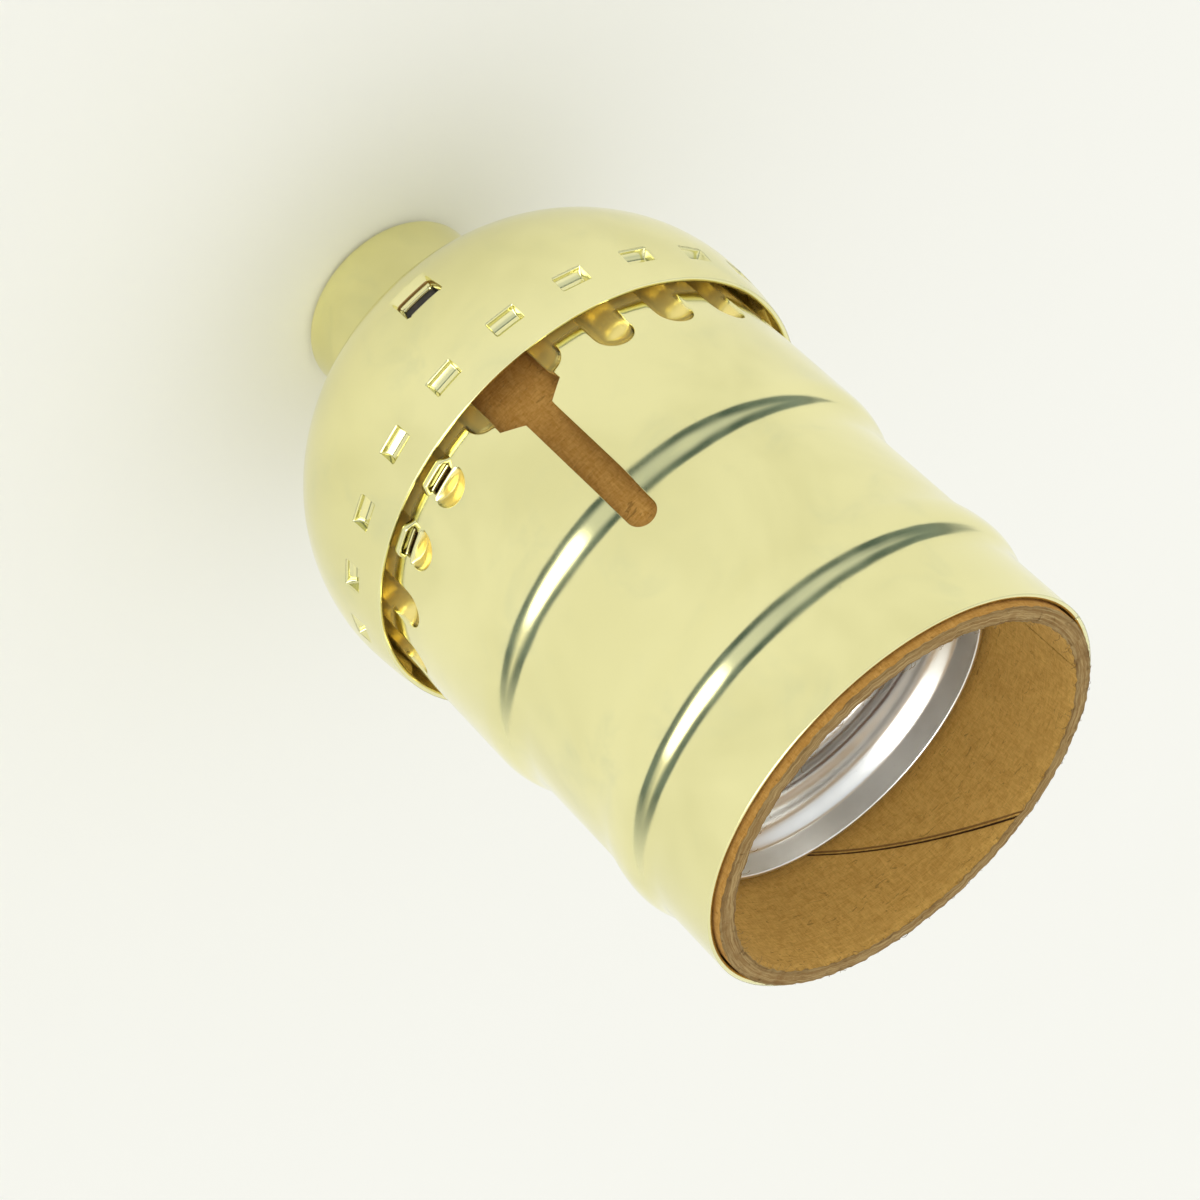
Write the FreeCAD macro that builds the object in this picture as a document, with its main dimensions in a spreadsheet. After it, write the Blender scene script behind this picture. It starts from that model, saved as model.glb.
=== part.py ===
import FreeCAD, Part
import math
import os
from types import SimpleNamespace

import Sketcher
from FreeCAD import Placement, Rotation, Vector

# Keyless lamp socket, modelled mouth up. The origin is the centre of the neck's end face, which is
# the flat that the socket stands on; +Z points out of the mouth and the slot faces -Y.
# All lengths are in millimetres and all angles in degrees.
DRIVING_SIZES = {
    # Cap: a drawn bell with a neck collar
    "sheet_wall": 0.45,
    "cap_height": 27.1,
    "cap_gap": 0.65,
    "cap_tuck": 0.5,
    "cap_belly_drop": 4.5,
    "cap_dome_radius": 15.1,
    "neck_end_round": 1.0,
    "neck_lip_width": 1.0,
    "neck_fillet": 1.4,
    # Pressed dimples round the cap's skirt
    "dimple_count": 21,
    "dimple_width": 2.3,
    "dimple_tall": 1.4,
    "dimple_depth": 0.7,
    "dimple_drop": 2.8,
    # Lanced louvre in the dome, one in front and one behind
    "louvre_width": 3.0,
    "louvre_drop": 9.0,
    "louvre_gap": 1.0,
    "louvre_flap": 1.6,
    "louvre_push": 0.9,
    # Outer shell: a drawn tube with one step, one bead and a fluted collar
    "shell_wall": 0.4,
    "shell_bottom": 19.5,
    "shell_mouth": 61.9,
    "step_start": 39.6,
    "step_length": 3.5,
    "step_depth": 0.95,
    "bead_start": 50.1,
    "bead_height": 0.45,
    "bead_rise": 4.0,
    "bead_fall": 3.0,
    "mouth_tuck": 0.2,
    "mouth_round": 0.15,
    "scoop_radius": 1.9,
    "scoop_depth": 0.85,
    "scoop_reach": 3.4,
    "catch_gap": 0.4,
    "catch_strip": 0.5,
    "catch_slit": 0.55,
    "catch_edge": 0.2,
    "catch_half_angle": 6.6,
    "catch_slit_half_angle": 3.6,
    # Slot in the outer shell
    "slot_head_width": 5.6,
    "slot_head_reach": 2.85,
    "slot_shoulder": 1.15,
    "slot_width": 2.45,
    "slot_reach": 16.0,
    # Insulating tube inside the outer shell
    "liner_room": 0.85,
    "liner_wall": 1.37,
    "liner_gap": 0.15,
    "liner_proud": 0.74,
    # Insulating cup inside the cap
    "cup_wall": 0.7,
    "cup_hole_margin": 1.0,
    # Threaded bushing and its set screw
    "bushing_bore_radius": 4.57,
    "bushing_wall": 2.58,
    "bushing_collar_width": 1.6,
    "bushing_collar_tall": 1.5,
    "bushing_chamfer": 0.4,
    "set_screw_radius": 2.0,
    "set_screw_height": 4.0,
    "set_screw_proud": 0.8,
    "set_screw_slot": 0.6,
    # Phenolic core
    "core_seat": 15.5,
    "core_flange_bite": 0.34,
    "core_flange_tall": 2.5,
    "core_gap": 0.58,
    "core_top": 29.0,
    "core_chamfer": 0.5,
    "terminal_recess": 4.0,
    "terminal_pocket_width": 11.0,
    "terminal_pocket_roof": 1.2,
    "channel_width": 7.6,
    "channel_depth": 2.0,
    # Lamp screw shell, rolled to the medium screw base
    "screw_shell_wall": 0.4,
    "screw_shell_rim": 54.0,
    "screw_rim_flare": 0.33,
    "thread_pitch": 3.629,
    "thread_root_radius": 13.3,
    "thread_depth": 1.1,
    "thread_start": 4.2,
    "thread_end": 3.4,
    "thread_fade": 1.8,
    "screw_floor_corner": 1.6,
    "screw_floor_hole": 6.2,
    # Insulator and centre contact at the bottom of the screw shell
    "insulator_margin": 1.6,
    "insulator_tall": 2.0,
    "contact_strip": 0.4,
    "contact_width": 5.4,
    "contact_foot": 4.4,
    "contact_run": 3.3,
    "contact_lift": 2.2,
    "contact_tip_run": 2.6,
    "contact_tip_drop": 0.9,
    # Terminal straps, screws and rivets
    "strap_wall": 0.8,
    "strap_width": 7.0,
    "strap_top_gap": 0.6,
    "terminal_screw_radius": 1.75,
    "terminal_screw_length": 4.4,
    "terminal_head_radius": 3.3,
    "terminal_head_tall": 1.9,
    "terminal_head_round": 0.6,
    "terminal_slot_width": 0.9,
    "terminal_slot_depth": 0.8,
    "terminal_screw_height": 22.6,
    "rivet_radius": 1.2,
    "rivet_head_radius": 2.1,
    "rivet_head_tall": 0.7,
    "rivet_tail_radius": 1.7,
    "rivet_tail_tall": 0.6,
    "rivet_inset": 2.6,
    "rivet_room": 0.15,
    "contact_rivet_offset": 4.6,
    "boss_gap": 0.1,
    "running_gap": 0.3,
}

doc = FreeCAD.newDocument("lamp_socket")
sheet = doc.addObject("Spreadsheet::Sheet", "sizes")
for row, (alias, value) in enumerate(DRIVING_SIZES.items(), start=1):
    sheet.set(f"A{row}", alias)
    sheet.set(f"B{row}", str(value))
    sheet.setAlias(f"B{row}", alias)
doc.recompute()


class Size:
    """A number kept together with the sheet expression that gives it."""

    def __init__(self, value, text):
        self.value = float(value)
        self.text = text

    def __add__(self, other):
        other = as_size(other)
        return Size(self.value + other.value, f"({self.text} + {other.text})")

    def __sub__(self, other):
        other = as_size(other)
        return Size(self.value - other.value, f"({self.text} - {other.text})")

    def __mul__(self, other):
        other = as_size(other)
        return Size(self.value * other.value, f"({self.text} * {other.text})")

    def __truediv__(self, other):
        other = as_size(other)
        return Size(self.value / other.value, f"({self.text} / {other.text})")

    def __neg__(self):
        return Size(-self.value, f"(-1 * {self.text})")

    __radd__ = __add__
    __rmul__ = __mul__


def as_size(number):
    """Returns number as a Size, so that plain numbers and sheet sizes mix."""
    return number if isinstance(number, Size) else Size(number, str(number))


def root(size):
    return Size(math.sqrt(size.value), f"sqrt({size.text})")


def square(size):
    return Size(size.value ** 2, f"({size.text} ^ 2)")


def cosine(angle):
    return Size(math.cos(math.radians(angle.value)), f"cos({angle.text})")


def sine(angle):
    return Size(math.sin(math.radians(angle.value)), f"sin({angle.text})")


def other_leg(hypotenuse, leg):
    """The other short side of a right-angled triangle."""
    return root(square(hypotenuse) - square(leg))


# The screw shell is a fine net of flat facets: how many round it, per turn of thread, and elsewhere
COLUMN_COUNT = 54
ROWS_PER_TURN = 8
CORNER_ROWS = 4
FLARE_ROWS = 5
SEWING_TOLERANCE = 1e-4

# The two catches, counted in flutes from the slot, which is halfway between two flutes at -90 degrees
CATCH_FLUTES = (1.5, 2.5)
SLOT_ANGLE = 90

# How far a cutting shape reaches past the surface that it cuts
CUT_MARGIN = as_size(1)

# How near an edge lies to the ring that is asked for, and how level it is
SAME_PLACE = 1e-4
LEVEL = 0.99
ZERO = as_size(0)
s = SimpleNamespace(**{alias: Size(value, f"sizes.{alias}") for alias, value in DRIVING_SIZES.items()})


class Outline:
    """A closed outline of lines and arcs, drawn from corner to corner."""

    def __init__(self, x, y):
        self.corners = [(as_size(x), as_size(y))]
        self.edges = []

    def line(self, x, y):
        self.corners.append((as_size(x), as_size(y)))
        self.edges.append(None)
        return self

    def arc(self, x, y, radius, left=True):
        """An arc of less than half a turn that bends to the left or to the right."""
        self.corners.append((as_size(x), as_size(y)))
        self.edges.append((as_size(radius), left))
        return self

    def joggle(self, x, y):
        """Two equal arcs that step sideways and leave both ends parallel to the y axis."""
        start_x, start_y = self.corners[-1]
        inward = as_size(x).value < start_x.value
        step = start_x - x if inward else as_size(x) - start_x
        run = as_size(y) - start_y
        radius = (square(run) + square(step)) / (4 * step)
        self.arc((start_x + x) / 2, (start_y + y) / 2, radius, left=inward)
        return self.arc(x, y, radius, left=not inward)

    def ramp(self, x, y):
        """Two arcs that climb sideways and leave both ends parallel to the x axis."""
        start_x, start_y = self.corners[-1]
        run, rise = as_size(x) - start_x, as_size(y) - start_y
        radius = (square(run) + square(rise)) / (4 * rise)
        self.arc((start_x + x) / 2, (start_y + y) / 2, radius)
        return self.arc(x, y, radius, left=False)

    def draw(self, sketch):
        """Adds the outline to a sketch, closes it and ties every corner to the sheet."""
        if len(self.edges) < len(self.corners):
            self.edges.append(None)
        starts = []
        for index, edge in enumerate(self.edges):
            first = plane_point(self.corners[index])
            last = plane_point(self.corners[(index + 1) % len(self.corners)])
            if edge is None:
                geometry = sketch.addGeometry(Part.LineSegment(first, last), False)
                starts.append((geometry, 1, 2))
            else:
                radius, left = edge
                geometry = sketch.addGeometry(arc_between(first, last, radius.value, left), False)
                starts.append((geometry, 1, 2) if left else (geometry, 2, 1))
                bind(sketch, Sketcher.Constraint("Radius", geometry, radius.value), radius)
        for index, (geometry, start, _) in enumerate(starts):
            before, _, end = starts[index - 1]
            sketch.addConstraint(Sketcher.Constraint("Coincident", before, end, geometry, start))
            x, y = self.corners[index]
            place(sketch, "DistanceX", -2, geometry, start, x)
            place(sketch, "DistanceY", -1, geometry, start, y)
        return sketch


def plane_point(corner):
    return Vector(corner[0].value, corner[1].value, 0)


def arc_between(first, last, radius, left):
    """The arc of less than half a turn from first to last."""
    chord = last - first
    height = math.sqrt(radius ** 2 - (chord.Length / 2) ** 2)
    side = Vector(-chord.y, chord.x, 0).normalize() * (height if left else -height)
    centre = (first + last) / 2 + side
    begin, end = (first, last) if left else (last, first)
    angles = [math.atan2(point.y - centre.y, point.x - centre.x) for point in (begin, end)]
    return Part.ArcOfCircle(Part.Circle(centre, Vector(0, 0, 1), radius), *angles)


def bind(sketch, constraint, size):
    """Adds a constraint whose value follows the sheet."""
    index = sketch.addConstraint(constraint)
    sketch.setExpression(f"Constraints[{index}]", size.text)


def place(sketch, kind, axis, geometry, end, size):
    """Ties one coordinate of a corner to the sketch's origin."""
    if size.value == 0:
        sketch.addConstraint(Sketcher.Constraint("PointOnObject", geometry, end, axis))
    elif size.value > 0:
        bind(sketch, Sketcher.Constraint(kind, -1, 1, geometry, end, size.value), size)
    else:
        bind(sketch, Sketcher.Constraint(kind, geometry, end, -1, 1, -size.value), -size)


def tie(thing, prop, size):
    """Makes a property follow the sheet."""
    thing.setExpression(prop, as_size(size).text)


def new_body(label):
    body = doc.addObject("PartDesign::Body", label)
    body.Label = label
    return body


def origin_feature(body, role):
    return next(item for item in body.Origin.OriginFeatures if item.Role == role)


def new_sketch(body, plane, outlines, offset=ZERO):
    """A sketch on one of the body's origin planes, moved along that plane's normal."""
    sketch = body.newObject("Sketcher::SketchObject", f"{body.Name}_{plane}")
    sketch.AttachmentSupport = (origin_feature(body, f"{plane}_Plane"), [""])
    sketch.MapMode = "FlatFace"
    tie(sketch, "AttachmentOffset.Base.z", offset)
    for outline in outlines:
        outline.draw(sketch)
    return sketch


def revolve(body, outline, plane="XZ"):
    feature = body.newObject("PartDesign::Revolution", f"{body.Name}_turned")
    feature.Profile = new_sketch(body, plane, [outline])
    feature.ReferenceAxis = (feature.Profile[0], ["V_Axis"])
    feature.Angle = 360
    return feature


def extrude(body, kind, plane, outlines, length, offset=ZERO, middle=False, back=False):
    """A Pad or a Pocket of a fixed length; back turns it to the other side of its plane."""
    feature = body.newObject(f"PartDesign::{kind}", f"{body.Name}_{kind}")
    feature.Profile = new_sketch(body, plane, outlines, offset)
    tie(feature, "Length", length)
    feature.Midplane = middle
    feature.Reversed = back
    return feature


def repeat_round(body, features, count):
    """Copies features evenly round the body's Z axis."""
    pattern = body.newObject("PartDesign::PolarPattern", f"{body.Name}_pattern")
    pattern.Originals = features
    pattern.Axis = (origin_feature(body, "Z_Axis"), [""])
    pattern.Angle = 360
    tie(pattern, "Occurrences", count)
    body.Tip = pattern
    return pattern


def soften(body, kind, amount, rings):
    """A Fillet or a Chamfer on the circular edges with the given radii and heights."""
    doc.recompute()
    base = body.Tip
    names = []
    for number, edge in enumerate(base.Shape.Edges, start=1):
        curve = edge.Curve
        for radius, height in rings:
            if (isinstance(curve, Part.Circle) and abs(curve.Radius - radius.value) < SAME_PLACE
                    and abs(curve.Center.z - height.value) < SAME_PLACE and abs(curve.Axis.z) > LEVEL):
                names.append(f"Edge{number}")
    feature = body.newObject(f"PartDesign::{kind}", f"{body.Name}_{kind}")
    feature.Base = (base, names)
    tie(feature, "Size" if kind == "Chamfer" else "Radius", amount)
    body.Tip = feature
    return feature


def rectangle(x_low, x_high, y_low, y_high):
    return Outline(x_low, y_low).line(x_high, y_low).line(x_high, y_high).line(x_low, y_high)


def circle(x, y, radius):
    """A full circle as four quarter arcs, each tied by its ends."""
    outline = Outline(as_size(x) + radius, y)
    outline.arc(x, as_size(y) + radius, radius)
    outline.arc(as_size(x) - radius, y, radius)
    outline.arc(x, as_size(y) - radius, radius)
    outline.edges.append((as_size(radius), True))
    return outline


def cut_away(label, form, hollow):
    """A sheet-metal piece: its outer form less the form of its inside."""
    piece = doc.addObject("Part::Cut", label)
    piece.Label = label
    piece.Base = form
    piece.Tool = hollow
    return piece


# Radii, from the lamp's thread outward: each piece clears the one inside it by a named gap
thread_crest_radius = s.thread_root_radius - s.thread_depth
screw_rim_radius = s.thread_root_radius + s.screw_shell_wall + s.screw_rim_flare
liner_inner_radius = screw_rim_radius + s.liner_room
liner_outer_radius = liner_inner_radius + s.liner_wall
mouth_radius = liner_outer_radius + s.liner_gap + s.shell_wall
barrel_radius = mouth_radius + s.mouth_tuck
bead_radius = barrel_radius + s.bead_height
shell_radius = barrel_radius + s.step_depth
cap_rim_radius = shell_radius + s.cap_gap + s.sheet_wall
cap_belly_radius = cap_rim_radius + s.cap_tuck
core_radius = liner_inner_radius - s.core_gap
terminal_flat = core_radius - s.terminal_recess
insulator_radius = thread_crest_radius - s.insulator_margin
rivet_circle = insulator_radius - s.rivet_inset

# Radii of the neck, from the pipe's thread outward
neck_bore = s.bushing_bore_radius + s.bushing_wall
neck_radius = neck_bore + s.sheet_wall
bushing_collar_radius = neck_radius + s.bushing_collar_width
cup_hole_radius = bushing_collar_radius + s.cup_hole_margin

# Heights and places that several pieces share
belly_height = s.cap_height - s.cap_belly_drop
dome_centre = cap_belly_radius - s.cap_dome_radius
core_step = s.core_seat + s.core_flange_tall
floor_top = s.core_top + s.screw_shell_wall
insulator_top = floor_top + s.insulator_tall
strap_outer = terminal_flat + s.strap_wall
channel_roof = s.core_seat + s.channel_depth
strap_foot = channel_roof - s.strap_wall
neutral_foot = s.core_top - s.strap_wall


def dome_height(inset, radius):
    """Height of the dome at a radius, on the surface that lies inset below the outside."""
    return belly_height - other_leg(s.cap_dome_radius - inset, radius - dome_centre)


def dome_radius(inset, height):
    """Radius of the dome at a height below its belly."""
    return dome_centre + other_leg(s.cap_dome_radius - inset, belly_height - height)


core_flange_radius = dome_radius(s.sheet_wall + s.cup_wall, s.core_seat) + s.core_flange_bite


def cap_outline(inset):
    """Half section of the bell: neck, dome and tucked-in skirt, set in by inset."""
    neck = neck_radius - inset
    skirt_radius = (square(s.cap_belly_drop) + square(s.cap_tuck)) / (2 * s.cap_tuck)
    skirt_share = (skirt_radius - inset) / skirt_radius
    skirt_centre = cap_belly_radius - skirt_radius
    rim_x = skirt_centre + (cap_rim_radius - skirt_centre) * skirt_share
    rim_y = belly_height + s.cap_belly_drop * skirt_share
    outline = Outline(0, inset)
    outline.line(neck_radius - s.neck_end_round, inset)
    outline.arc(neck, s.neck_end_round, s.neck_end_round - inset)
    outline.line(neck, dome_height(inset, neck))
    outline.arc(cap_belly_radius - inset, belly_height, s.cap_dome_radius - inset)
    outline.arc(rim_x, rim_y, skirt_radius - inset)
    if inset.value > 0:
        outline.line(rim_x, s.cap_height)
    return outline.line(0, s.cap_height)


def dimple_cut(body, grow):
    """One short half-round dimple across the skirt, with flat ends."""
    middle = s.cap_height - s.dimple_drop
    radius = s.dimple_tall / 2 + grow
    axis = cap_belly_radius + s.dimple_tall / 2 - s.dimple_depth
    beyond = axis + CUT_MARGIN
    groove = Outline(beyond, middle - radius).line(beyond, middle + radius).line(axis, middle + radius)
    groove.arc(axis - radius, middle, radius).arc(axis, middle - radius, radius)
    return extrude(body, "Pocket", "YZ", [groove], s.dimple_width + 2 * grow, middle=True)


def louvre_points():
    """The hinge line and the pushed-in tip of a louvre flap, on its outer face."""
    mouth_edge = s.cap_height - s.louvre_drop
    tip = mouth_edge - s.louvre_gap
    hinge = tip - s.louvre_flap
    return mouth_edge, tip, dome_radius(ZERO, tip) - s.louvre_push, hinge, dome_radius(ZERO, hinge)


def make_cap():
    form = new_body("cap_form")
    revolve(form, cap_outline(ZERO))
    soften(form, "Fillet", s.neck_fillet, [(neck_radius, dome_height(ZERO, neck_radius))])
    lip_hole = circle(0, 0, neck_radius - s.neck_end_round - s.neck_lip_width)
    extrude(form, "Pocket", "XY", [lip_hole], s.sheet_wall, back=True)
    repeat_round(form, [dimple_cut(form, ZERO)], s.dimple_count)
    mouth_edge, tip, tip_radius, hinge, hinge_radius = louvre_points()
    outside = cap_belly_radius + CUT_MARGIN
    opening = Outline(hinge_radius, hinge).line(outside, hinge).line(outside, mouth_edge)
    opening.line(tip_radius - s.sheet_wall, mouth_edge).line(tip_radius - s.sheet_wall, tip)
    opening.line(tip_radius, tip)
    window = extrude(form, "Pocket", "YZ", [opening], s.louvre_width, middle=True)
    repeat_round(form, [window], as_size(2))
    screw_hole = circle(0, s.set_screw_height, s.set_screw_radius)
    extrude(form, "Pocket", "XZ", [screw_hole], neck_radius + CUT_MARGIN)

    hollow = new_body("cap_hollow")
    revolve(hollow, cap_outline(s.sheet_wall))
    soften(hollow, "Fillet", s.neck_fillet, [(neck_bore, dome_height(s.sheet_wall, neck_bore))])
    repeat_round(hollow, [dimple_cut(hollow, s.sheet_wall)], s.dimple_count)
    flap = Outline(outside, tip).line(outside, hinge)
    flap.line(dome_radius(s.sheet_wall, hinge), hinge).line(tip_radius - s.sheet_wall, tip)
    kept = extrude(hollow, "Pocket", "YZ", [flap], s.louvre_width + 2 * s.sheet_wall, middle=True)
    repeat_round(hollow, [kept], as_size(2))
    return cut_away("cap", form, hollow)


def shell_outline(inset):
    """Half section of the outer shell, from its end under the cap to its mouth."""
    outline = Outline(0, s.shell_bottom)
    outline.line(shell_radius - inset, s.shell_bottom)
    outline.line(shell_radius - inset, s.step_start)
    outline.joggle(barrel_radius - inset, s.step_start + s.step_length)
    outline.line(barrel_radius - inset, s.bead_start)
    outline.joggle(bead_radius - inset, s.bead_start + s.bead_rise)
    outline.joggle(mouth_radius - inset, s.bead_start + s.bead_rise + s.bead_fall)
    outline.line(mouth_radius - inset, s.shell_mouth)
    return outline.line(0, s.shell_mouth)


def scoop_cut(body, grow):
    """One flute with a round end, pressed into the shell's collar from outside."""
    across = s.scoop_radius - s.scoop_depth
    end_centre = s.cap_height + s.scoop_reach - other_leg(s.scoop_radius, across)
    axis = shell_radius + across
    radius = s.scoop_radius + grow
    bullet = Outline(axis - radius, s.shell_bottom - CUT_MARGIN).line(axis, s.shell_bottom - CUT_MARGIN)
    bullet.line(axis, end_centre + radius)
    bullet.arc(axis - radius, end_centre, radius)
    sketch = new_sketch(body, "YZ", [bullet])
    foot, tip = Vector(axis.value, 0, 0), Vector(axis.value, CUT_MARGIN.value, 0)
    spine = sketch.addGeometry(Part.LineSegment(foot, tip), True)
    sketch.addConstraint(Sketcher.Constraint("Vertical", spine))
    sketch.addConstraint(Sketcher.Constraint("PointOnObject", spine, 1, -1))
    bind(sketch, Sketcher.Constraint("DistanceX", -1, 1, spine, 1, axis.value), axis)
    bind(sketch, Sketcher.Constraint("DistanceY", spine, 1, spine, 2, CUT_MARGIN.value), CUT_MARGIN)
    groove = body.newObject("PartDesign::Groove", f"{body.Name}_scoop")
    groove.Profile = sketch
    groove.ReferenceAxis = (sketch, ["Axis0"])
    groove.Angle = 360
    return groove


def sector(inner, outer, middle, half):
    """Part of a ring, between two radii and two angles."""
    low, high = middle - half, middle + half
    outline = Outline(inner * cosine(low), inner * sine(low))
    outline.line(outer * cosine(low), outer * sine(low))
    outline.arc(outer * cosine(high), outer * sine(high), outer)
    outline.line(inner * cosine(high), inner * sine(high))
    outline.edges.append((inner, False))
    return outline


def make_outer_shell():
    form = new_body("shell_form")
    revolve(form, shell_outline(ZERO))
    soften(form, "Fillet", s.mouth_round, [(mouth_radius, s.shell_mouth)])
    repeat_round(form, [scoop_cut(form, ZERO)], s.dimple_count)
    pitch = as_size(360) / s.dimple_count
    places = [pitch * flutes - SLOT_ANGLE for flutes in CATCH_FLUTES]
    inner = shell_radius - s.shell_wall
    bridge_start = s.cap_height + s.catch_gap
    bridges = [sector(inner, shell_radius, place_angle, s.catch_half_angle) for place_angle in places]
    bridge = s.catch_strip + s.catch_slit + s.catch_edge
    extrude(form, "Pad", "XY", bridges, bridge, offset=bridge_start)
    slits = [sector(inner - CUT_MARGIN, shell_radius + CUT_MARGIN, place_angle, s.catch_slit_half_angle)
             for place_angle in places]
    extrude(form, "Pocket", "XY", slits, s.catch_slit, offset=bridge_start + s.catch_strip, back=True)
    head, half = s.slot_head_width / 2, s.slot_width / 2
    shoulder = s.cap_height + s.slot_head_reach
    neck = shoulder + s.slot_shoulder
    end = s.cap_height + s.slot_reach
    low = s.shell_bottom - CUT_MARGIN
    slot = Outline(-head, low).line(head, low).line(head, shoulder)
    slot.line(half, neck).line(half, end - half).arc(0, end, half).arc(-half, end - half, half)
    slot.line(-half, neck).line(-head, shoulder)
    extrude(form, "Pocket", "XZ", [slot], shell_radius + CUT_MARGIN, back=True)

    hollow = new_body("shell_hollow")
    revolve(hollow, shell_outline(s.shell_wall))
    repeat_round(hollow, [scoop_cut(hollow, s.shell_wall)], s.dimple_count)
    return cut_away("outer_shell", form, hollow)


def make_shell_liner():
    body = new_body("shell_liner")
    revolve(body, rectangle(liner_inner_radius, liner_outer_radius, core_step,
                            s.shell_mouth + s.liner_proud))


def make_cap_liner():
    """A fibre cup that lines the dome; the core's flange rests on its end."""
    back, face = s.sheet_wall, s.sheet_wall + s.cup_wall
    body = new_body("cap_liner")
    outline = Outline(cup_hole_radius, dome_height(face, cup_hole_radius))
    outline.line(cup_hole_radius, dome_height(back, cup_hole_radius))
    outline.arc(dome_radius(back, s.core_seat), s.core_seat, s.cap_dome_radius - back)
    outline.line(dome_radius(face, s.core_seat), s.core_seat)
    outline.edges.append((s.cap_dome_radius - face, False))
    revolve(body, outline)


def make_neck_bushing():
    """A tapped bushing that stands on the neck's turned-in lip; its collar sits on the dome."""
    seat = dome_height(s.sheet_wall, bushing_collar_radius)
    top = seat + s.bushing_collar_tall
    body = new_body("neck_bushing")
    outline = Outline(s.bushing_bore_radius, s.sheet_wall)
    outline.line(neck_radius - s.neck_end_round, s.sheet_wall)
    outline.arc(neck_bore, s.neck_end_round, s.neck_end_round - s.sheet_wall)
    outline.line(neck_bore, seat - s.neck_fillet)
    outline.line(neck_bore - s.neck_fillet / 2, seat)
    outline.line(bushing_collar_radius, seat).line(bushing_collar_radius, top)
    outline.line(s.bushing_bore_radius + s.bushing_chamfer, top)
    outline.line(s.bushing_bore_radius, top - s.bushing_chamfer)
    revolve(body, outline)
    hole = circle(0, s.set_screw_height, s.set_screw_radius)
    extrude(body, "Pocket", "XZ", [hole], neck_radius + CUT_MARGIN)


def make_neck_set_screw():
    body = new_body("neck_set_screw")
    tip = s.bushing_bore_radius + s.running_gap
    outer_end = neck_radius + s.set_screw_proud
    barrel = circle(0, s.set_screw_height, s.set_screw_radius)
    extrude(body, "Pad", "XZ", [barrel], outer_end - tip, offset=-tip, back=True)
    slot = rectangle(-s.set_screw_radius - CUT_MARGIN, s.set_screw_radius + CUT_MARGIN,
                     s.set_screw_height - s.set_screw_slot / 2, s.set_screw_height + s.set_screw_slot / 2)
    extrude(body, "Pocket", "XZ", [slot], s.set_screw_slot, offset=-outer_end, back=True)


def make_core_base():
    """The moulded base that carries the screw shell, the straps and the terminal screws."""
    body = new_body("core_base")
    outline = Outline(0, s.core_seat).line(core_flange_radius, s.core_seat)
    outline.line(core_flange_radius, core_step).line(core_radius, core_step)
    outline.line(core_radius, s.core_top).line(0, s.core_top)
    revolve(body, outline)
    soften(body, "Chamfer", s.core_chamfer, [(core_radius, s.core_top)])
    half = s.terminal_pocket_width / 2
    beyond = core_flange_radius + CUT_MARGIN
    recesses = [rectangle(terminal_flat, beyond, -half, half),
                rectangle(-beyond, -terminal_flat, -half, half)]
    roof = s.core_top - s.terminal_pocket_roof
    extrude(body, "Pocket", "XY", recesses, roof - s.core_seat, offset=s.core_seat, back=True)
    half = s.channel_width / 2
    channel = rectangle(-terminal_flat - CUT_MARGIN, terminal_flat + CUT_MARGIN, -half, half)
    extrude(body, "Pocket", "XY", [channel], s.channel_depth, offset=s.core_seat, back=True)
    places = rivet_places()
    holes = [circle(x, y, s.rivet_radius) for x, y in (places[0], places[2], places[3])]
    extrude(body, "Pocket", "XY", holes, s.core_top - s.core_seat, offset=s.core_seat, back=True)
    tray = rectangle(neutral_end() - s.running_gap, beyond, -half, half)
    extrude(body, "Pocket", "XY", [tray], s.strap_wall, offset=neutral_foot, back=True)
    notch = rectangle(terminal_flat, beyond, -half, half)
    extrude(body, "Pocket", "XY", [notch], s.terminal_pocket_roof, offset=roof, back=True)
    tail_room = circle(*places[1], s.rivet_tail_radius)
    depth = s.rivet_tail_tall + s.running_gap
    extrude(body, "Pocket", "XY", [tail_room], depth, offset=neutral_foot - depth, back=True)
    reach = strap_outer - s.terminal_screw_length
    for offset, back in ((reach, True), (-reach, False)):
        tap = circle(0, s.terminal_screw_height, s.terminal_screw_radius)
        extrude(body, "Pocket", "YZ", [tap], beyond - reach, offset=offset, back=back)


def neutral_end():
    """Where the neutral strap's leg ends inside the core."""
    return rivet_circle - s.contact_foot / 2


def rivet_places():
    """Centres of the contact rivet, the neutral rivet and the two plain rivets."""
    ring = rivet_circle
    return [(-s.contact_rivet_offset, ZERO), (ring, ZERO), (ZERO, -ring), (ZERO, ring)]


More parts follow.
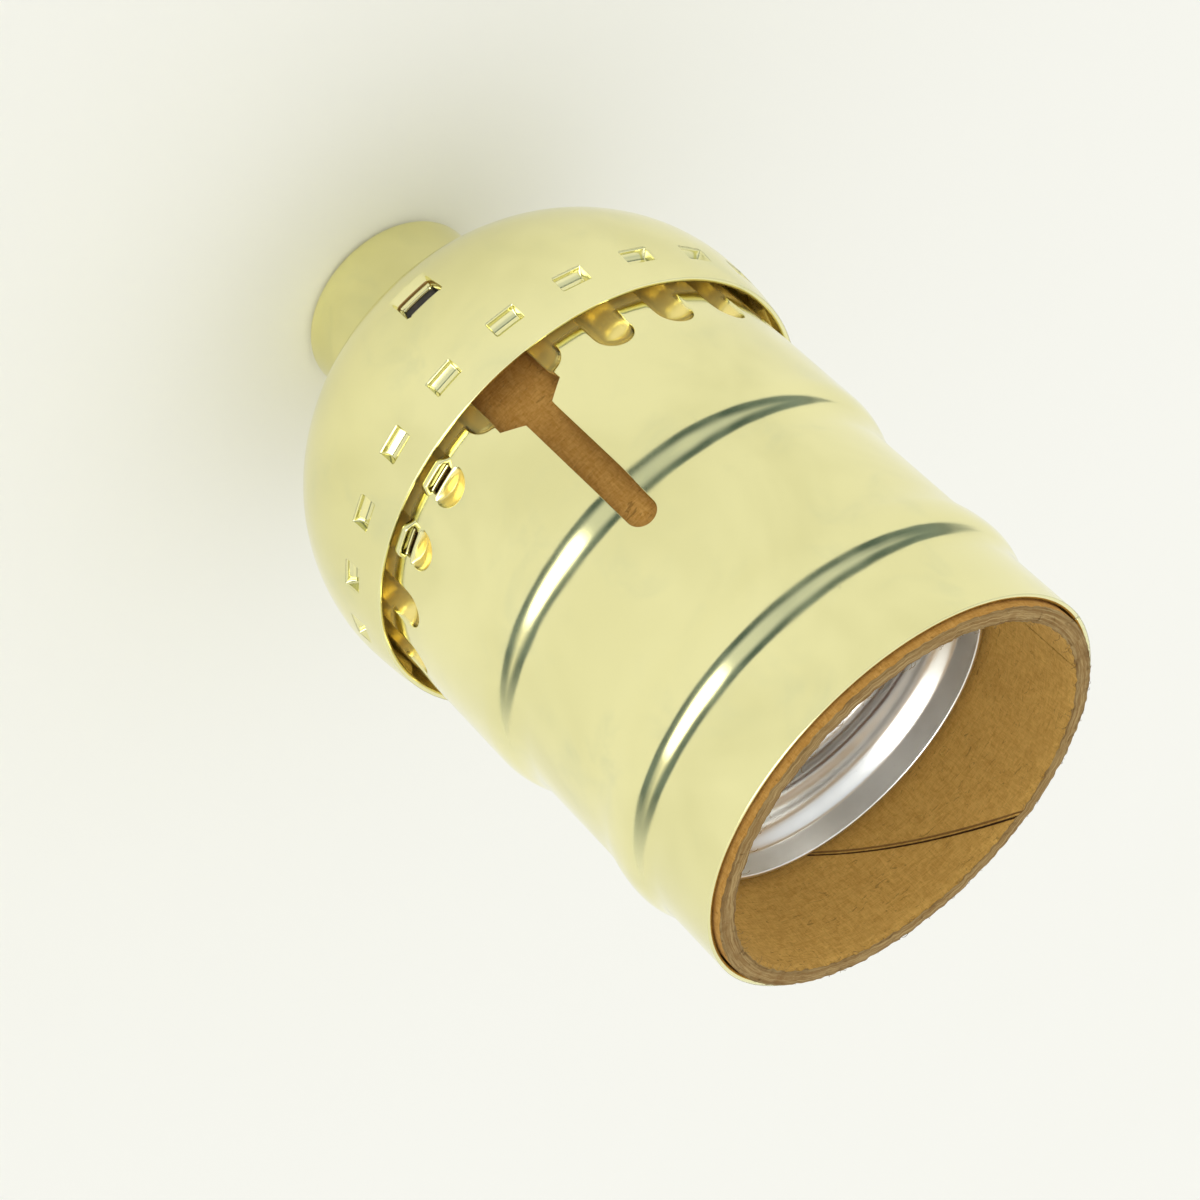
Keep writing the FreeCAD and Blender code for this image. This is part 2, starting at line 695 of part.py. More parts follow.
def screw_shell_rings(inset):
    """Rings of points on one side of the screw shell: floor, threaded barrel and flared rim."""
    floor, rim = s.core_top.value + inset, s.screw_shell_rim.value
    thread_middle = (thread_crest_radius + s.thread_root_radius) / 2
    wall_radius = (thread_middle + s.screw_shell_wall).value - inset
    low, high = s.core_top.value + s.thread_start.value, rim - s.thread_end.value
    corner = s.screw_floor_corner.value - inset
    profile = [(s.screw_floor_hole.value, floor)]
    for step in range(CORNER_ROWS + 1):
        angle = math.pi / 2 * step / CORNER_ROWS
        inward, drop = corner * (1 - math.sin(angle)), corner * (1 - math.cos(angle))
        profile.append((wall_radius - inward, floor + drop))
    pitch = s.thread_pitch.value
    row_count = math.ceil((high - low) / pitch * ROWS_PER_TURN)
    profile += [(wall_radius, low + (high - low) * step / row_count) for step in range(row_count)]
    flare = screw_rim_radius.value - inset - wall_radius
    flare_top = rim - s.thread_end.value / 2
    for step in range(FLARE_ROWS + 1):
        share = step / FLARE_ROWS
        profile.append((wall_radius + flare * smooth(share), high + (flare_top - high) * share))
    profile.append((wall_radius + flare, rim))
    rings = []
    for radius, height in profile:
        fade = smooth(min(height - low, high - height) / s.thread_fade.value)
        rings.append([])
        for column in range(COLUMN_COUNT):
            turn = 2 * math.pi * column / COLUMN_COUNT
            wave = s.thread_depth.value / 2 * math.cos(2 * math.pi * height / pitch - turn)
            reach = radius + wave * fade
            rings[-1].append(Vector(reach * math.cos(turn), reach * math.sin(turn), height))
    return rings


def smooth(share):
    """Rises from 0 to 1 with level ends."""
    share = min(1.0, max(0.0, share))
    return share * share * (3 - 2 * share)


def make_screw_shell():
    """A sheet cup rolled into the lamp thread, so both sides of the sheet carry the same wave."""
    rings = screw_shell_rings(0.0) + screw_shell_rings(s.screw_shell_wall.value)[::-1]
    facets = []
    for row in range(len(rings)):
        low, high = row * COLUMN_COUNT, (row + 1) % len(rings) * COLUMN_COUNT
        for column in range(COLUMN_COUNT):
            beside = (column + 1) % COLUMN_COUNT
            facets.append((low + column, low + beside, high + beside))
            facets.append((low + column, high + beside, high + column))
    skin = Part.Shape()
    skin.makeShapeFromMesh(([point for ring in rings for point in ring], facets), SEWING_TOLERANCE)
    solid = Part.makeSolid(Part.Shell(skin.Faces))
    for x, y in rivet_places()[1:]:
        low_end = Vector(x.value, y.value, (s.core_top - CUT_MARGIN).value)
        reach = (s.screw_shell_wall + 2 * CUT_MARGIN).value
        solid = solid.cut(Part.makeCylinder(s.rivet_radius.value, reach, low_end))
    piece = doc.addObject("Part::Feature", "screw_shell")
    piece.Label = "screw_shell"
    piece.Shape = solid


def make_inner_insulator():
    """The disc under the centre contact; its boss fills the hole in the screw shell's floor."""
    body = new_body("inner_insulator")
    boss = s.screw_floor_hole - s.boss_gap
    outline = Outline(0, s.core_top).line(boss, s.core_top).line(boss, floor_top)
    outline.line(insulator_radius, floor_top).line(insulator_radius, insulator_top)
    revolve(body, outline.line(0, insulator_top))
    soften(body, "Chamfer", s.core_chamfer, [(insulator_radius, insulator_top)])
    places = rivet_places()
    room = s.rivet_head_radius + s.rivet_room
    pockets = [circle(x, y, room) for x, y in places[1:]]
    extrude(body, "Pocket", "XY", pockets, s.rivet_head_tall + s.rivet_room, offset=floor_top, back=True)
    hole = circle(*places[0], s.rivet_radius)
    extrude(body, "Pocket", "XY", [hole], s.insulator_tall + s.screw_shell_wall, offset=s.core_top, back=True)


def make_centre_contact():
    """A spring strip: flat foot under the rivet, a rising tongue and a crown that the lamp presses."""
    strip = s.contact_strip
    run, lift = s.contact_run, s.contact_lift
    tip_run, tip_drop = s.contact_tip_run, s.contact_tip_drop
    foot_start = -s.contact_rivet_offset - s.contact_foot / 2
    foot_end = foot_start + s.contact_foot
    crown_x, crown_z = foot_end + run, insulator_top + lift
    bend = (square(run) + square(lift)) / (4 * lift)
    tip_bend = (square(tip_run) + square(tip_drop)) / (2 * tip_drop)
    stretch = (tip_bend + strip) / tip_bend
    lean = strip * run / (2 * bend)
    rise = strip - strip * lift / (2 * bend)
    outline = Outline(foot_start, insulator_top).line(foot_end, insulator_top).ramp(crown_x, crown_z)
    outline.arc(crown_x + tip_run, crown_z - tip_drop, tip_bend, left=False)
    outline.line(crown_x + tip_run * stretch, crown_z - tip_bend + (tip_bend - tip_drop) * stretch)
    outline.arc(crown_x, crown_z + strip, tip_bend + strip)
    middle_x, middle_z = (foot_end + crown_x) / 2, (insulator_top + crown_z) / 2
    outline.arc(middle_x - lean, middle_z + rise, bend + strip)
    outline.arc(foot_end, insulator_top + strip, bend - strip, left=False)
    outline.line(foot_start, insulator_top + strip)
    body = new_body("centre_contact")
    extrude(body, "Pad", "XZ", [outline], s.contact_width, middle=True)
    hole = circle(*rivet_places()[0], s.rivet_radius)
    extrude(body, "Pocket", "XY", [hole], strip, offset=insulator_top, back=True)


def make_hot_terminal():
    """A brass strap: one leg in the channel under the core, the other up behind its screw."""
    top = s.core_top - s.terminal_pocket_roof - s.strap_top_gap
    flat, outer, inner_end = terminal_flat, strap_outer, s.contact_rivet_offset - s.contact_foot / 2
    outline = Outline(-inner_end, strap_foot).line(-inner_end, channel_roof)
    outline.line(-flat, channel_roof).line(-flat, top).line(-outer, top)
    outline.line(-outer, channel_roof).arc(-flat, strap_foot, s.strap_wall)
    body = new_body("hot_terminal")
    extrude(body, "Pad", "XZ", [outline], s.strap_width, middle=True)
    pierce_strap(body, rivet_places()[0], strap_foot, -1)


def make_neutral_terminal():
    """A brass strap: one leg under the screw shell's floor, the other down behind its screw."""
    bottom = core_step + s.strap_top_gap
    flat, outer = terminal_flat, strap_outer
    outline = Outline(neutral_end(), neutral_foot).line(flat, neutral_foot).line(flat, bottom)
    outline.line(outer, bottom).line(outer, neutral_foot).arc(flat, s.core_top, s.strap_wall)
    body = new_body("neutral_terminal")
    extrude(body, "Pad", "XZ", [outline.line(neutral_end(), s.core_top)], s.strap_width, middle=True)
    pierce_strap(body, rivet_places()[1], neutral_foot, 1)


def pierce_strap(body, rivet_place, leg_height, side):
    """The strap's two holes, for its rivet and for its terminal screw."""
    rivet_hole = circle(*rivet_place, s.rivet_radius)
    extrude(body, "Pocket", "XY", [rivet_hole], s.strap_wall, offset=leg_height, back=True)
    screw_hole = circle(0, s.terminal_screw_height, s.terminal_screw_radius)
    extrude(body, "Pocket", "YZ", [screw_hole], s.strap_wall, offset=terminal_flat * side, back=side > 0)


def make_terminal_screw(label, side):
    """A slotted binding screw, turned about its own axis and laid along X."""
    body = new_body(label)
    radius, tall = s.terminal_head_radius, s.terminal_head_tall
    edge_round = s.terminal_head_round
    outline = Outline(0, -s.terminal_screw_length).line(s.terminal_screw_radius, -s.terminal_screw_length)
    outline.line(s.terminal_screw_radius, 0).line(radius, 0).line(radius, tall - edge_round)
    outline.arc(radius - edge_round, tall, edge_round)
    revolve(body, outline.line(0, tall))
    half = s.terminal_slot_width / 2
    slot = rectangle(-radius - CUT_MARGIN, radius + CUT_MARGIN, -half, half)
    floor = tall - s.terminal_slot_depth
    extrude(body, "Pocket", "XY", [slot], s.terminal_slot_depth, offset=floor, back=True)
    body.Placement = Placement(Vector(), Rotation(Vector(0, 1, 0), 90 * side))
    tie(body, "Placement.Base.x", strap_outer * side)
    tie(body, "Placement.Base.z", s.terminal_screw_height)


def make_rivet(label, place_x, place_y, seat, under):
    """A rivet whose head sits on seat and whose spread tail bears on under."""
    body = new_body(label)
    dome = s.rivet_head_tall / 2
    grip = seat - under
    outline = Outline(0, -grip - s.rivet_tail_tall)
    outline.line(s.rivet_radius, -grip - s.rivet_tail_tall).line(s.rivet_tail_radius, -grip)
    outline.line(s.rivet_radius, -grip).line(s.rivet_radius, 0).line(s.rivet_head_radius, 0)
    outline.line(s.rivet_head_radius, s.rivet_head_tall - dome)
    outline.arc(s.rivet_head_radius - dome, s.rivet_head_tall, dome)
    revolve(body, outline.line(0, s.rivet_head_tall))
    tie(body, "Placement.Base.x", place_x)
    tie(body, "Placement.Base.y", place_y)
    tie(body, "Placement.Base.z", seat)


def make_core_parts():
    contact_place, neutral_place, front_place, rear_place = rivet_places()
    make_hot_terminal()
    make_neutral_terminal()
    make_terminal_screw("hot_screw", -1)
    make_terminal_screw("neutral_screw", 1)
    make_rivet("contact_rivet", *contact_place, insulator_top + s.contact_strip, strap_foot)
    make_rivet("neutral_rivet", *neutral_place, floor_top, neutral_foot)
    make_rivet("shell_rivet_front", *front_place, floor_top, s.core_seat)
    make_rivet("shell_rivet_rear", *rear_place, floor_top, s.core_seat)


def check_document():
    """Stops the build if any object failed or any piece is not sound."""
    doc.recompute()
    failed = [thing.Name for thing in doc.Objects if "Invalid" in thing.State or "Error" in thing.State]
    if failed:
        raise RuntimeError(f"failed: {failed}")
    inner_forms = {tool for thing in doc.Objects if thing.TypeId == "Part::Cut"
                   for tool in (thing.Base, thing.Tool)}
    kinds = ("PartDesign::Body", "Part::Cut", "Part::Feature")
    pieces = [thing for thing in doc.Objects if thing.TypeId in kinds and thing not in inner_forms]
    for piece in pieces:
        if piece.Shape.isNull() or not piece.Shape.isValid() or len(piece.Shape.Solids) != 1:
            raise RuntimeError(f"{piece.Label} is not one sound solid")
    return pieces


make_cap()
make_cap_liner()
make_neck_bushing()
make_neck_set_screw()
make_outer_shell()
make_shell_liner()
make_core_base()
make_screw_shell()
make_inner_insulator()
make_centre_contact()
make_core_parts()

os.makedirs("parts", exist_ok=True)
for piece in check_document():
    piece.Shape.exportStep(f"parts/{piece.Label}.step")
    print(f"{piece.Label}: {piece.Shape.Volume:.1f} mm3")
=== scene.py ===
import math
import random

import bpy
import numpy as np
from mathutils import Matrix, Vector
from mathutils.geometry import delaunay_2d_cdt
from mathutils.kdtree import KDTree


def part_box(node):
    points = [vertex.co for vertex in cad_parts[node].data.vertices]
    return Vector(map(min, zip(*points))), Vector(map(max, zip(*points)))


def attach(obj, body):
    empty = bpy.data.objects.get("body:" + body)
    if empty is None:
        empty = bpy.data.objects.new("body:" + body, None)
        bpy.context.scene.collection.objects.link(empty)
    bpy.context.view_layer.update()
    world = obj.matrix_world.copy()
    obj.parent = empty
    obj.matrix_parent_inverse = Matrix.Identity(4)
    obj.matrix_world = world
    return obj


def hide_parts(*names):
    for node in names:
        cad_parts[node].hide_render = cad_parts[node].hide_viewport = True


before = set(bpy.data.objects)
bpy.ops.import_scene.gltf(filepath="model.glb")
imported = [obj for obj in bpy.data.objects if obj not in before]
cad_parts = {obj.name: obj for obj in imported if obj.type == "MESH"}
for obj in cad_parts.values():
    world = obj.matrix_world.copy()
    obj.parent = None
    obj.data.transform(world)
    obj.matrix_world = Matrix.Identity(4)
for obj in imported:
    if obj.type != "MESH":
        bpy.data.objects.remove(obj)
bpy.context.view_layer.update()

# A keyless lamp socket standing on its neck. Lengths are in millimetres until a mesh is made.
# Angles are in degrees, but turns round the axis are in radians.
MM = 0.001


def top_of(node):
    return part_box(node)[1] / MM


def bottom_of(node):
    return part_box(node)[0] / MM


# Cap
SHEET_WALL = 0.45
RIM_HEIGHT = top_of("cap").z
BELLY_RADIUS = -bottom_of("cap").y
BELLY_DROP = 4.5
RIM_TUCK = 0.5
DOME_RADIUS = 15.1
NECK_RADIUS = 7.6
NECK_FILLET = 1.4
NECK_ROUND = 1.0
NECK_LIP = 1.0
DIMPLE_COUNT = 21
DIMPLE_WIDTH = 2.3
DIMPLE_TALL = 1.4
DIMPLE_DROP = 2.8
DIMPLE_EDGE = 0.08
DIMPLE_SINK = 0.07
DIMPLE_SINK_REACH = 1.8
LOUVRE_WIDTH = 3.0
LOUVRE_DROP = 9.0
LOUVRE_GAP = 2.3
LOUVRE_FLAP = 1.2
LOUVRE_PUSH = 0.9
LOUVRE_MARGIN = 0.25
LOUVRE_BLEND = 0.4
SET_SCREW_HEIGHT = 4.0
SET_SCREW_RADIUS = 2.0

# Outer shell
SHELL_WALL = 0.4
SHELL_BOTTOM = bottom_of("outer_shell").z
SHELL_MOUTH = top_of("outer_shell").z
MOUTH_RADIUS = 16.8
BARREL_RADIUS = 17.0
BEAD_RADIUS = 17.45
SHELL_RADIUS = 17.95
STEP_START, STEP_END = 38.3, 42.3
BEAD_START, BEAD_TOP, BEAD_END = 49.6, 53.5, 56.4
SCOOP_RADIUS = 1.9
SCOOP_DEPTH = 0.85
SCOOP_REACH = 3.4
SCOOP_SHORT = 1.3
SLOT_HEAD_HALF = 2.8
SLOT_HALF = 1.225
SLOT_SHOULDER = 2.85
SLOT_NECK = 4.0
SLOT_REACH = 16.0
CATCH_GAP = 0.4
CATCH_STRIP = 0.5
CATCH_SLIT = 0.55
CATCH_EDGE = 0.2
CATCH_SLIT_HALF = 3.6
CATCH_LIFT = 0.75
CATCH_HALF = 6.3
CATCH_LOW = RIM_HEIGHT + CATCH_GAP
CATCH_HIGH = CATCH_LOW + CATCH_STRIP + CATCH_SLIT + CATCH_EDGE
CATCH_FADE = 0.1
CATCH_WALL = 0.3
CATCH_SINK = 0.06
CATCH_CLEAR = 0.25
CATCH_ANGLES = [360 / DIMPLE_COUNT * place - 90 for place in (1.5, 2.5)]
SHOULDER_ROUND = 0.12
SCOOP_AXIS = SHELL_RADIUS + SCOOP_RADIUS - SCOOP_DEPTH
SCOOP_END = RIM_HEIGHT + SCOOP_REACH - math.sqrt(SCOOP_RADIUS ** 2 - (SCOOP_AXIS - SHELL_RADIUS) ** 2)

# Liner
LINER_OUTER = top_of("shell_liner").x
LINER_WALL = 1.37
LINER_BOTTOM = bottom_of("shell_liner").z
END_FUZZ = 0.06
LINER_TOP = top_of("shell_liner").z - 2 * END_FUZZ
SEAM_PITCH = 65.0
SEAM_ANGLE, SEAM_HEIGHT = 108.1, 61.7
SEAM_DEPTH, SEAM_WIDTH = 0.18, 0.07
PLY_DROP, PLY_DEPTH, PLY_WIDTH = 0.3, 0.1, 0.06
LAP_RISE, LAP_REACH = 0.06, 2.5
END_REACH = 0.7
END_WEAR = 0.05
SIDE_WEAR = 0.02
END_CHAMFER = 0.08
FIBRE_COUNT = 420
FIBRE_STEPS = 6
RAGGED = [(11, 0.3, 0.4), (23, 1.9, 0.8), (41, 4.2, 0.7), (67, 2.6, 0.9), (97, 5.1, 0.8), (139, 0.8, 0.6)]

# Lamp screw shell
SCREW_WALL = 0.4
SCREW_FLOOR = bottom_of("screw_shell").z
SCREW_RIM = top_of("screw_shell").z
SCREW_RIM_RADIUS = top_of("screw_shell").x
THREAD_PITCH = 3.629
THREAD_ROOT, THREAD_CREST = 13.3, 12.2
THREAD_START, THREAD_END, THREAD_FADE = 4.2, 3.4, 1.8
FLOOR_HOLE = 6.2
FLOOR_CORNER = 1.6
FLARE_STEPS = 40

# Neck bushing: straight pipe thread with 27 turns to 25.4 mm
BORE_RADIUS = 4.57
PIPE_PITCH = 25.4 / 27
PIPE_RIDGE = 0.3
PIPE_SECTION = [(0.15, -0.42), (0, -0.36), (-PIPE_RIDGE, -0.09), (-PIPE_RIDGE, 0.09), (0, 0.36), (0.15, 0.42)]
PIPE_STEPS = 72
PIPE_RUN_IN = 24

# Camera: a 90 mm lens on a 36 mm wide square picture, placed round the socket as in the photograph
CAMERA_PLACE = Vector((15.95, -181.70, 150.59))
CAMERA_RIGHT = Vector((-0.7247, 0.3411, 0.5987))
CAMERA_BACK = Vector((0.0505, -0.8403, 0.5398))
LENS = 90.0
SENSOR = 36.0

# Light: directions in degrees, as the polished barrel mirrors them
FLOOR_RADIUS = 360.0
FLOOR_SIDES = 128
CAMERA_SIDE = -97.0
LAMP_SIDE = -48.0
BRIGHT_SIDE = -14.0

# Nets: the flat sheets are slit halfway between two dimples, away from the slots, and their faces
# are finer in a patch round each dimple, louvre and catch
SHEET_SLIT = 90 + 360 / DIMPLE_COUNT * 5.5
CAP_COLUMNS = 168
SHELL_COLUMNS = 252
LINER_COLUMNS = 480
SCREW_COLUMNS, SCREW_ROWS = 150, 130
DIMPLE_PATCH, DIMPLE_STEP = 1.6, 0.1
LOUVRE_PATCH, LOUVRE_STEP = 1.2, 0.14
CATCH_PATCH, CATCH_STEP = 2.1, 0.15
CREASE_STEP = 0.3
PROFILE_STEP = 0.02
PROBE = 0.02
CLEAR = 0.12
EDGE_STRIPS = 4
EDGE_TILT = 60.0
EDGE_BULGE = 0.04


def smooth(share):
    """Rises from 0 to 1 with level ends."""
    share = np.clip(share, 0, 1)
    return share * share * (3 - 2 * share)


def soft_least(first, second, width):
    """The smaller of two values, with the corner between them rounded over width."""
    share = np.clip(0.5 + (first - second) / (2 * width), 0, 1)
    return first + (second - first) * share - width * share * (1 - share)


# Profiles: half sections in the plane of radius and height

def line(start, end):
    count = max(2, int(math.dist(start, end) / PROFILE_STEP))
    return np.linspace(start, end, count, endpoint=False)


def arc(centre, radius, first, last):
    """Points on an arc between two angles."""
    count = max(8, int(abs(math.radians(last - first)) * radius / PROFILE_STEP))
    angles = np.radians(np.linspace(first, last, count, endpoint=False))
    return np.stack([centre[0] + radius * np.cos(angles), centre[1] + radius * np.sin(angles)], axis=1)


class Profile:
    """A line of runs and arcs that can be read at any length along it."""

    def __init__(self, *stretches):
        points = np.vstack(stretches)
        self.radii, self.heights = points[:, 0], points[:, 1]
        steps = np.hypot(np.diff(self.radii), np.diff(self.heights))
        self.lengths = np.concatenate([[0], np.cumsum(steps)])
        self.total = self.lengths[-1]

    def at(self, length, inset=0.0):
        """Radius and height of the face that lies inset behind the profile."""
        length = np.clip(length, 0, self.total)
        radius, height = self.point(length)
        ahead_radius, ahead_height = self.point(np.minimum(length + PROBE, self.total))
        back_radius, back_height = self.point(np.maximum(length - PROBE, 0))
        along_radius, along_height = ahead_radius - back_radius, ahead_height - back_height
        size = np.hypot(along_radius, along_height)
        return radius - inset * along_height / size, height + inset * along_radius / size

    def point(self, length):
        return np.interp(length, self.lengths, self.radii), np.interp(length, self.lengths, self.heights)

    def length_at(self, height):
        """Length at a height, on the last stretch that climbs through it."""
        rising = np.maximum.accumulate(self.heights)
        return float(np.interp(height, rising, self.lengths))


# Sheet metal: a flat net of faces, bent by a surface function and given its wall

def circle(count):
    """Angles in radians, evenly round a circle."""
    return np.arange(count) * 2 * math.pi / count


def polar(radius, turn, height):
    """Points from their radius, angle in radians and height."""
    return np.stack(np.broadcast_arrays(radius * np.cos(turn), radius * np.sin(turn), height), axis=-1)


def tube_faces(rows, ring, first=0):
    """Four-sided faces of a tube whose points run round each row in turn."""
    faces = []
    for low in range(first, first + (rows - 1) * ring, ring):
        for k in range(ring):
            beside = (k + 1) % ring
            faces.append((low + k, low + beside, low + ring + beside, low + ring + k))
    return faces


def rod_faces(rows, ring, first=0):
    """Faces of a tube that is closed at both ends."""
    last = first + (rows - 1) * ring
    ends = [tuple(range(first, first + ring))[::-1], tuple(range(last, last + ring))]
    return tube_faces(rows, ring, first) + ends


def grid_points(across, along):
    return np.stack(np.meshgrid(across, along), axis=-1).reshape(-1, 2)


def grid_net(columns, lengths):
    """A plain net of four-sided faces right round the axis."""
    return grid_points(circle(columns), lengths), tube_faces(len(lengths), columns)


def span(middle, half):
    """The two ends of a stretch."""
    return middle - half, middle + half


def across_sheet(angle, radius):
    """Place of an angle in degrees on the flat sheet."""
    return math.radians((angle - SHEET_SLIT) % 360) * radius


def inside(points, outline):
    """Which points lie inside a closed outline."""
    x, y = points[:, 0], points[:, 1]
    found = np.zeros(len(points), bool)
    for (x0, y0), (x1, y1) in zip(outline, np.roll(outline, -1, axis=0)):
        crosses = (y0 > y) != (y1 > y)
        slope = (x1 - x0) / (y1 - y0) if y1 != y0 else 0.0
        found ^= crosses & (x < x0 + (y - y0) * slope)
    return found


def cut_net(radius, columns, lengths, patches, holes, creases=()):
    """A net of triangles that is finer in the patches, open in the holes and edged along the creases.

    Patches and outlines are given on the flat sheet: length round the axis at radius, then length along."""
    around = 2 * math.pi * radius
    grid = grid_points(around * np.arange(columns + 1) / columns, lengths)
    keep = np.ones(len(grid), bool)
    fine = []
    for (x_low, x_high), (y_low, y_high), step in patches:
        inner = (grid[:, 0] > x_low) & (grid[:, 0] < x_high) & (grid[:, 1] > y_low) & (grid[:, 1] < y_high)
        keep &= ~inner
        xs = np.linspace(x_low, x_high, max(2, round((x_high - x_low) / step)))
        ys = np.linspace(y_low, y_high, max(2, round((y_high - y_low) / step)))
        fine.append(grid_points(xs, ys))
    points = np.vstack([grid[keep]] + fine)
    for outline in holes:
        points = points[~inside(points, outline)]
    edges, corners = [], []
    lines = [(outline, True) for outline in holes] + [(crease, False) for crease in creases]
    for line_points, closed in lines:
        first, count = len(corners), len(line_points)
        corners += [tuple(point) for point in line_points]
        edges += [(first + k, first + (k + 1) % count) for k in range(count if closed else count - 1)]
    points = points[away_from(points, corners, around)]
    made = delaunay_2d_cdt([Vector(corner) for corner in corners + points.tolist()], edges, [], 0, 1e-5)
    points = np.array([tuple(point) for point in made[0]])
    faces = np.array(made[2])
    for outline in holes:
        faces = faces[~inside(points[faces].mean(axis=1), outline)]
    a, b, c = points[faces[:, 0]], points[faces[:, 1]], points[faces[:, 2]]
    area = (b[:, 0] - a[:, 0]) * (c[:, 1] - a[:, 1]) - (b[:, 1] - a[:, 1]) * (c[:, 0] - a[:, 0])
    faces[area < 0] = faces[area < 0][:, ::-1]
    faces = merge_seam(points, around)[faces[np.abs(area) > 1e-9]]
    used, compact = np.unique(faces, return_inverse=True)
    points = points[used]
    points[:, 0] = points[:, 0] / radius + math.radians(SHEET_SLIT)
    return points, [tuple(face) for face in compact.reshape(faces.shape).tolist()]


def away_from(points, corners, around):
    """Which points stand clear of the corners; the sheet's own two ends always stay."""
    tree = KDTree(len(corners))
    for number, corner in enumerate(corners):
        tree.insert((*corner, 0), number)
    tree.balance()
    at_end = (points[:, 0] < 1e-6) | (points[:, 0] > around - 1e-6)
    far = np.array([tree.find((x, y, 0))[2] > CLEAR for x, y in points])
    return far | at_end


def merge_seam(points, around):
    """Gives the points on the sheet's right edge the numbers of those on its left edge."""
    numbers = np.arange(len(points))
    left = {round(y, 4): k for k, (x, y) in enumerate(points) if x < 1e-6}
    for k in np.flatnonzero(points[:, 0] > around - 1e-6):
        numbers[k] = left[round(points[k, 1], 4)]
    return numbers


def unit(vectors):
    """Vectors of the same direction and length 1."""
    return vectors / np.maximum(np.linalg.norm(vectors, axis=-1, keepdims=True), 1e-12)


def normals_of(surface, turns, lengths, inset):
    """Outward normals of a surface, from points close by on it."""
    turn_step = PROBE / BELLY_RADIUS
    across = surface(turns + turn_step, lengths, inset) - surface(turns - turn_step, lengths, inset)
    upward = surface(turns, lengths + PROBE, inset) - surface(turns, lengths - PROBE, inset)
    return unit(np.cross(across, upward))


def sheet_mesh(name, net, surface, wall, edge_bulge=EDGE_BULGE):
    """Two skins a wall apart, joined round every open edge by a slightly rounded strip.

    Each face carries its group: 0 outside, 1 inside, 2 at an edge."""
    flat, faces = net
    turns, lengths = flat[:, 0], flat[:, 1]
    outer, inner = surface(turns, lengths, 0.0), surface(turns, lengths, wall)
    outer_normal = normals_of(surface, turns, lengths, 0.0)
    inner_normal = -normals_of(surface, turns, lengths, wall)
    count = len(flat)
    directed = {(face[k], face[(k + 1) % len(face)]) for face in faces for k in range(len(face))}
    border = sorted((a, b) for a, b in directed if (b, a) not in directed)
    sideways = np.zeros_like(outer)
    for a, b in border:
        push = np.cross(outer[b] - outer[a], outer_normal[a])
        push /= max(np.linalg.norm(push), 1e-12)
        sideways[a] += push
        sideways[b] += push
    rim = sorted({corner for edge in border for corner in edge})
    place = {corner: k for k, corner in enumerate(rim)}
    sideways = unit(sideways[rim])
    layers, normals = [], []
    for level in range(EDGE_STRIPS + 1):
        share = level / EDGE_STRIPS
        tilt = math.radians(EDGE_TILT * (1 - 2 * share))
        normals.append(sideways * math.cos(tilt) + outer_normal[rim] * math.sin(tilt))
        if 0 < level < EDGE_STRIPS:
            bulge = edge_bulge * math.sin(math.pi * share)
            layers.append(outer[rim] * (1 - share) + inner[rim] * share + sideways * bulge)
    points = np.vstack([outer, inner] + layers)
    loops = [outer_normal[list(face)] for face in faces]
    loops += [inner_normal[list(face[::-1])] for face in faces]
    all_faces = list(faces) + [tuple(count + corner for corner in face[::-1]) for face in faces]
    strips = [range(2 * count + level * len(rim), 2 * count + (level + 1) * len(rim))
              for level in range(EDGE_STRIPS - 1)]
    rows = [rim] + strips + [[count + corner for corner in rim]]
    for a, b in border:
        a, b = place[a], place[b]
        for low, high, low_normal, high_normal in zip(rows, rows[1:], normals, normals[1:]):
            all_faces.append((low[b], low[a], high[a], high[b]))
            loops.append(np.array([low_normal[b], low_normal[a], high_normal[a], high_normal[b]]))
    thing = mesh_object(name, points, all_faces, np.vstack(loops))
    group = np.repeat([0, 1, 2], [len(faces), len(faces), len(all_faces) - 2 * len(faces)])
    thing.data.attributes.new("group", "INT", "FACE").data.foreach_set("value", group.astype(np.int32))
    return thing


def mesh_object(name, points, faces, corner_normals=None):
    """A smooth mesh from points in millimetres."""
    mesh = bpy.data.meshes.new(name)
    mesh.from_pydata((points * MM).tolist(), [], faces)
    mesh.shade_smooth()
    if corner_normals is not None:
        mesh.normals_split_custom_set(corner_normals.tolist())
    thing = bpy.data.objects.new(name, mesh)
    bpy.context.scene.collection.objects.link(thing)
    return thing


# Cap

def cap_profile():
    neck_straight = NECK_RADIUS - NECK_ROUND
    dome_x, dome_y = BELLY_RADIUS - DOME_RADIUS, RIM_HEIGHT - BELLY_DROP
    fillet_x = NECK_RADIUS + NECK_FILLET
    reach = DOME_RADIUS + NECK_FILLET
    fillet_y = dome_y - math.sqrt(reach ** 2 - (fillet_x - dome_x) ** 2)
    fillet_end = math.degrees(math.atan2(dome_y - fillet_y, dome_x - fillet_x))
    skirt_radius = (BELLY_DROP ** 2 + RIM_TUCK ** 2) / (2 * RIM_TUCK)
    skirt_end = math.degrees(math.asin(BELLY_DROP / skirt_radius))
    return Profile(line((neck_straight - NECK_LIP, 0), (neck_straight, 0)),
                   arc((neck_straight, NECK_ROUND), NECK_ROUND, -90, 0),
                   line((NECK_RADIUS, NECK_ROUND), (NECK_RADIUS, fillet_y)),
                   arc((fillet_x, fillet_y), NECK_FILLET, 180, fillet_end),
                   arc((dome_x, dome_y), DOME_RADIUS, fillet_end - 180, 0),
                   arc((BELLY_RADIUS - skirt_radius, dome_y), skirt_radius, 0, skirt_end),
                   [(BELLY_RADIUS - RIM_TUCK, RIM_HEIGHT)])


def from_nearest(turns, count):
    """Angle in radians from the nearest of count features, one of which faces +Y."""
    pitch = 2 * math.pi / count
    return (turns - math.pi / 2 + pitch / 2) % pitch - pitch / 2


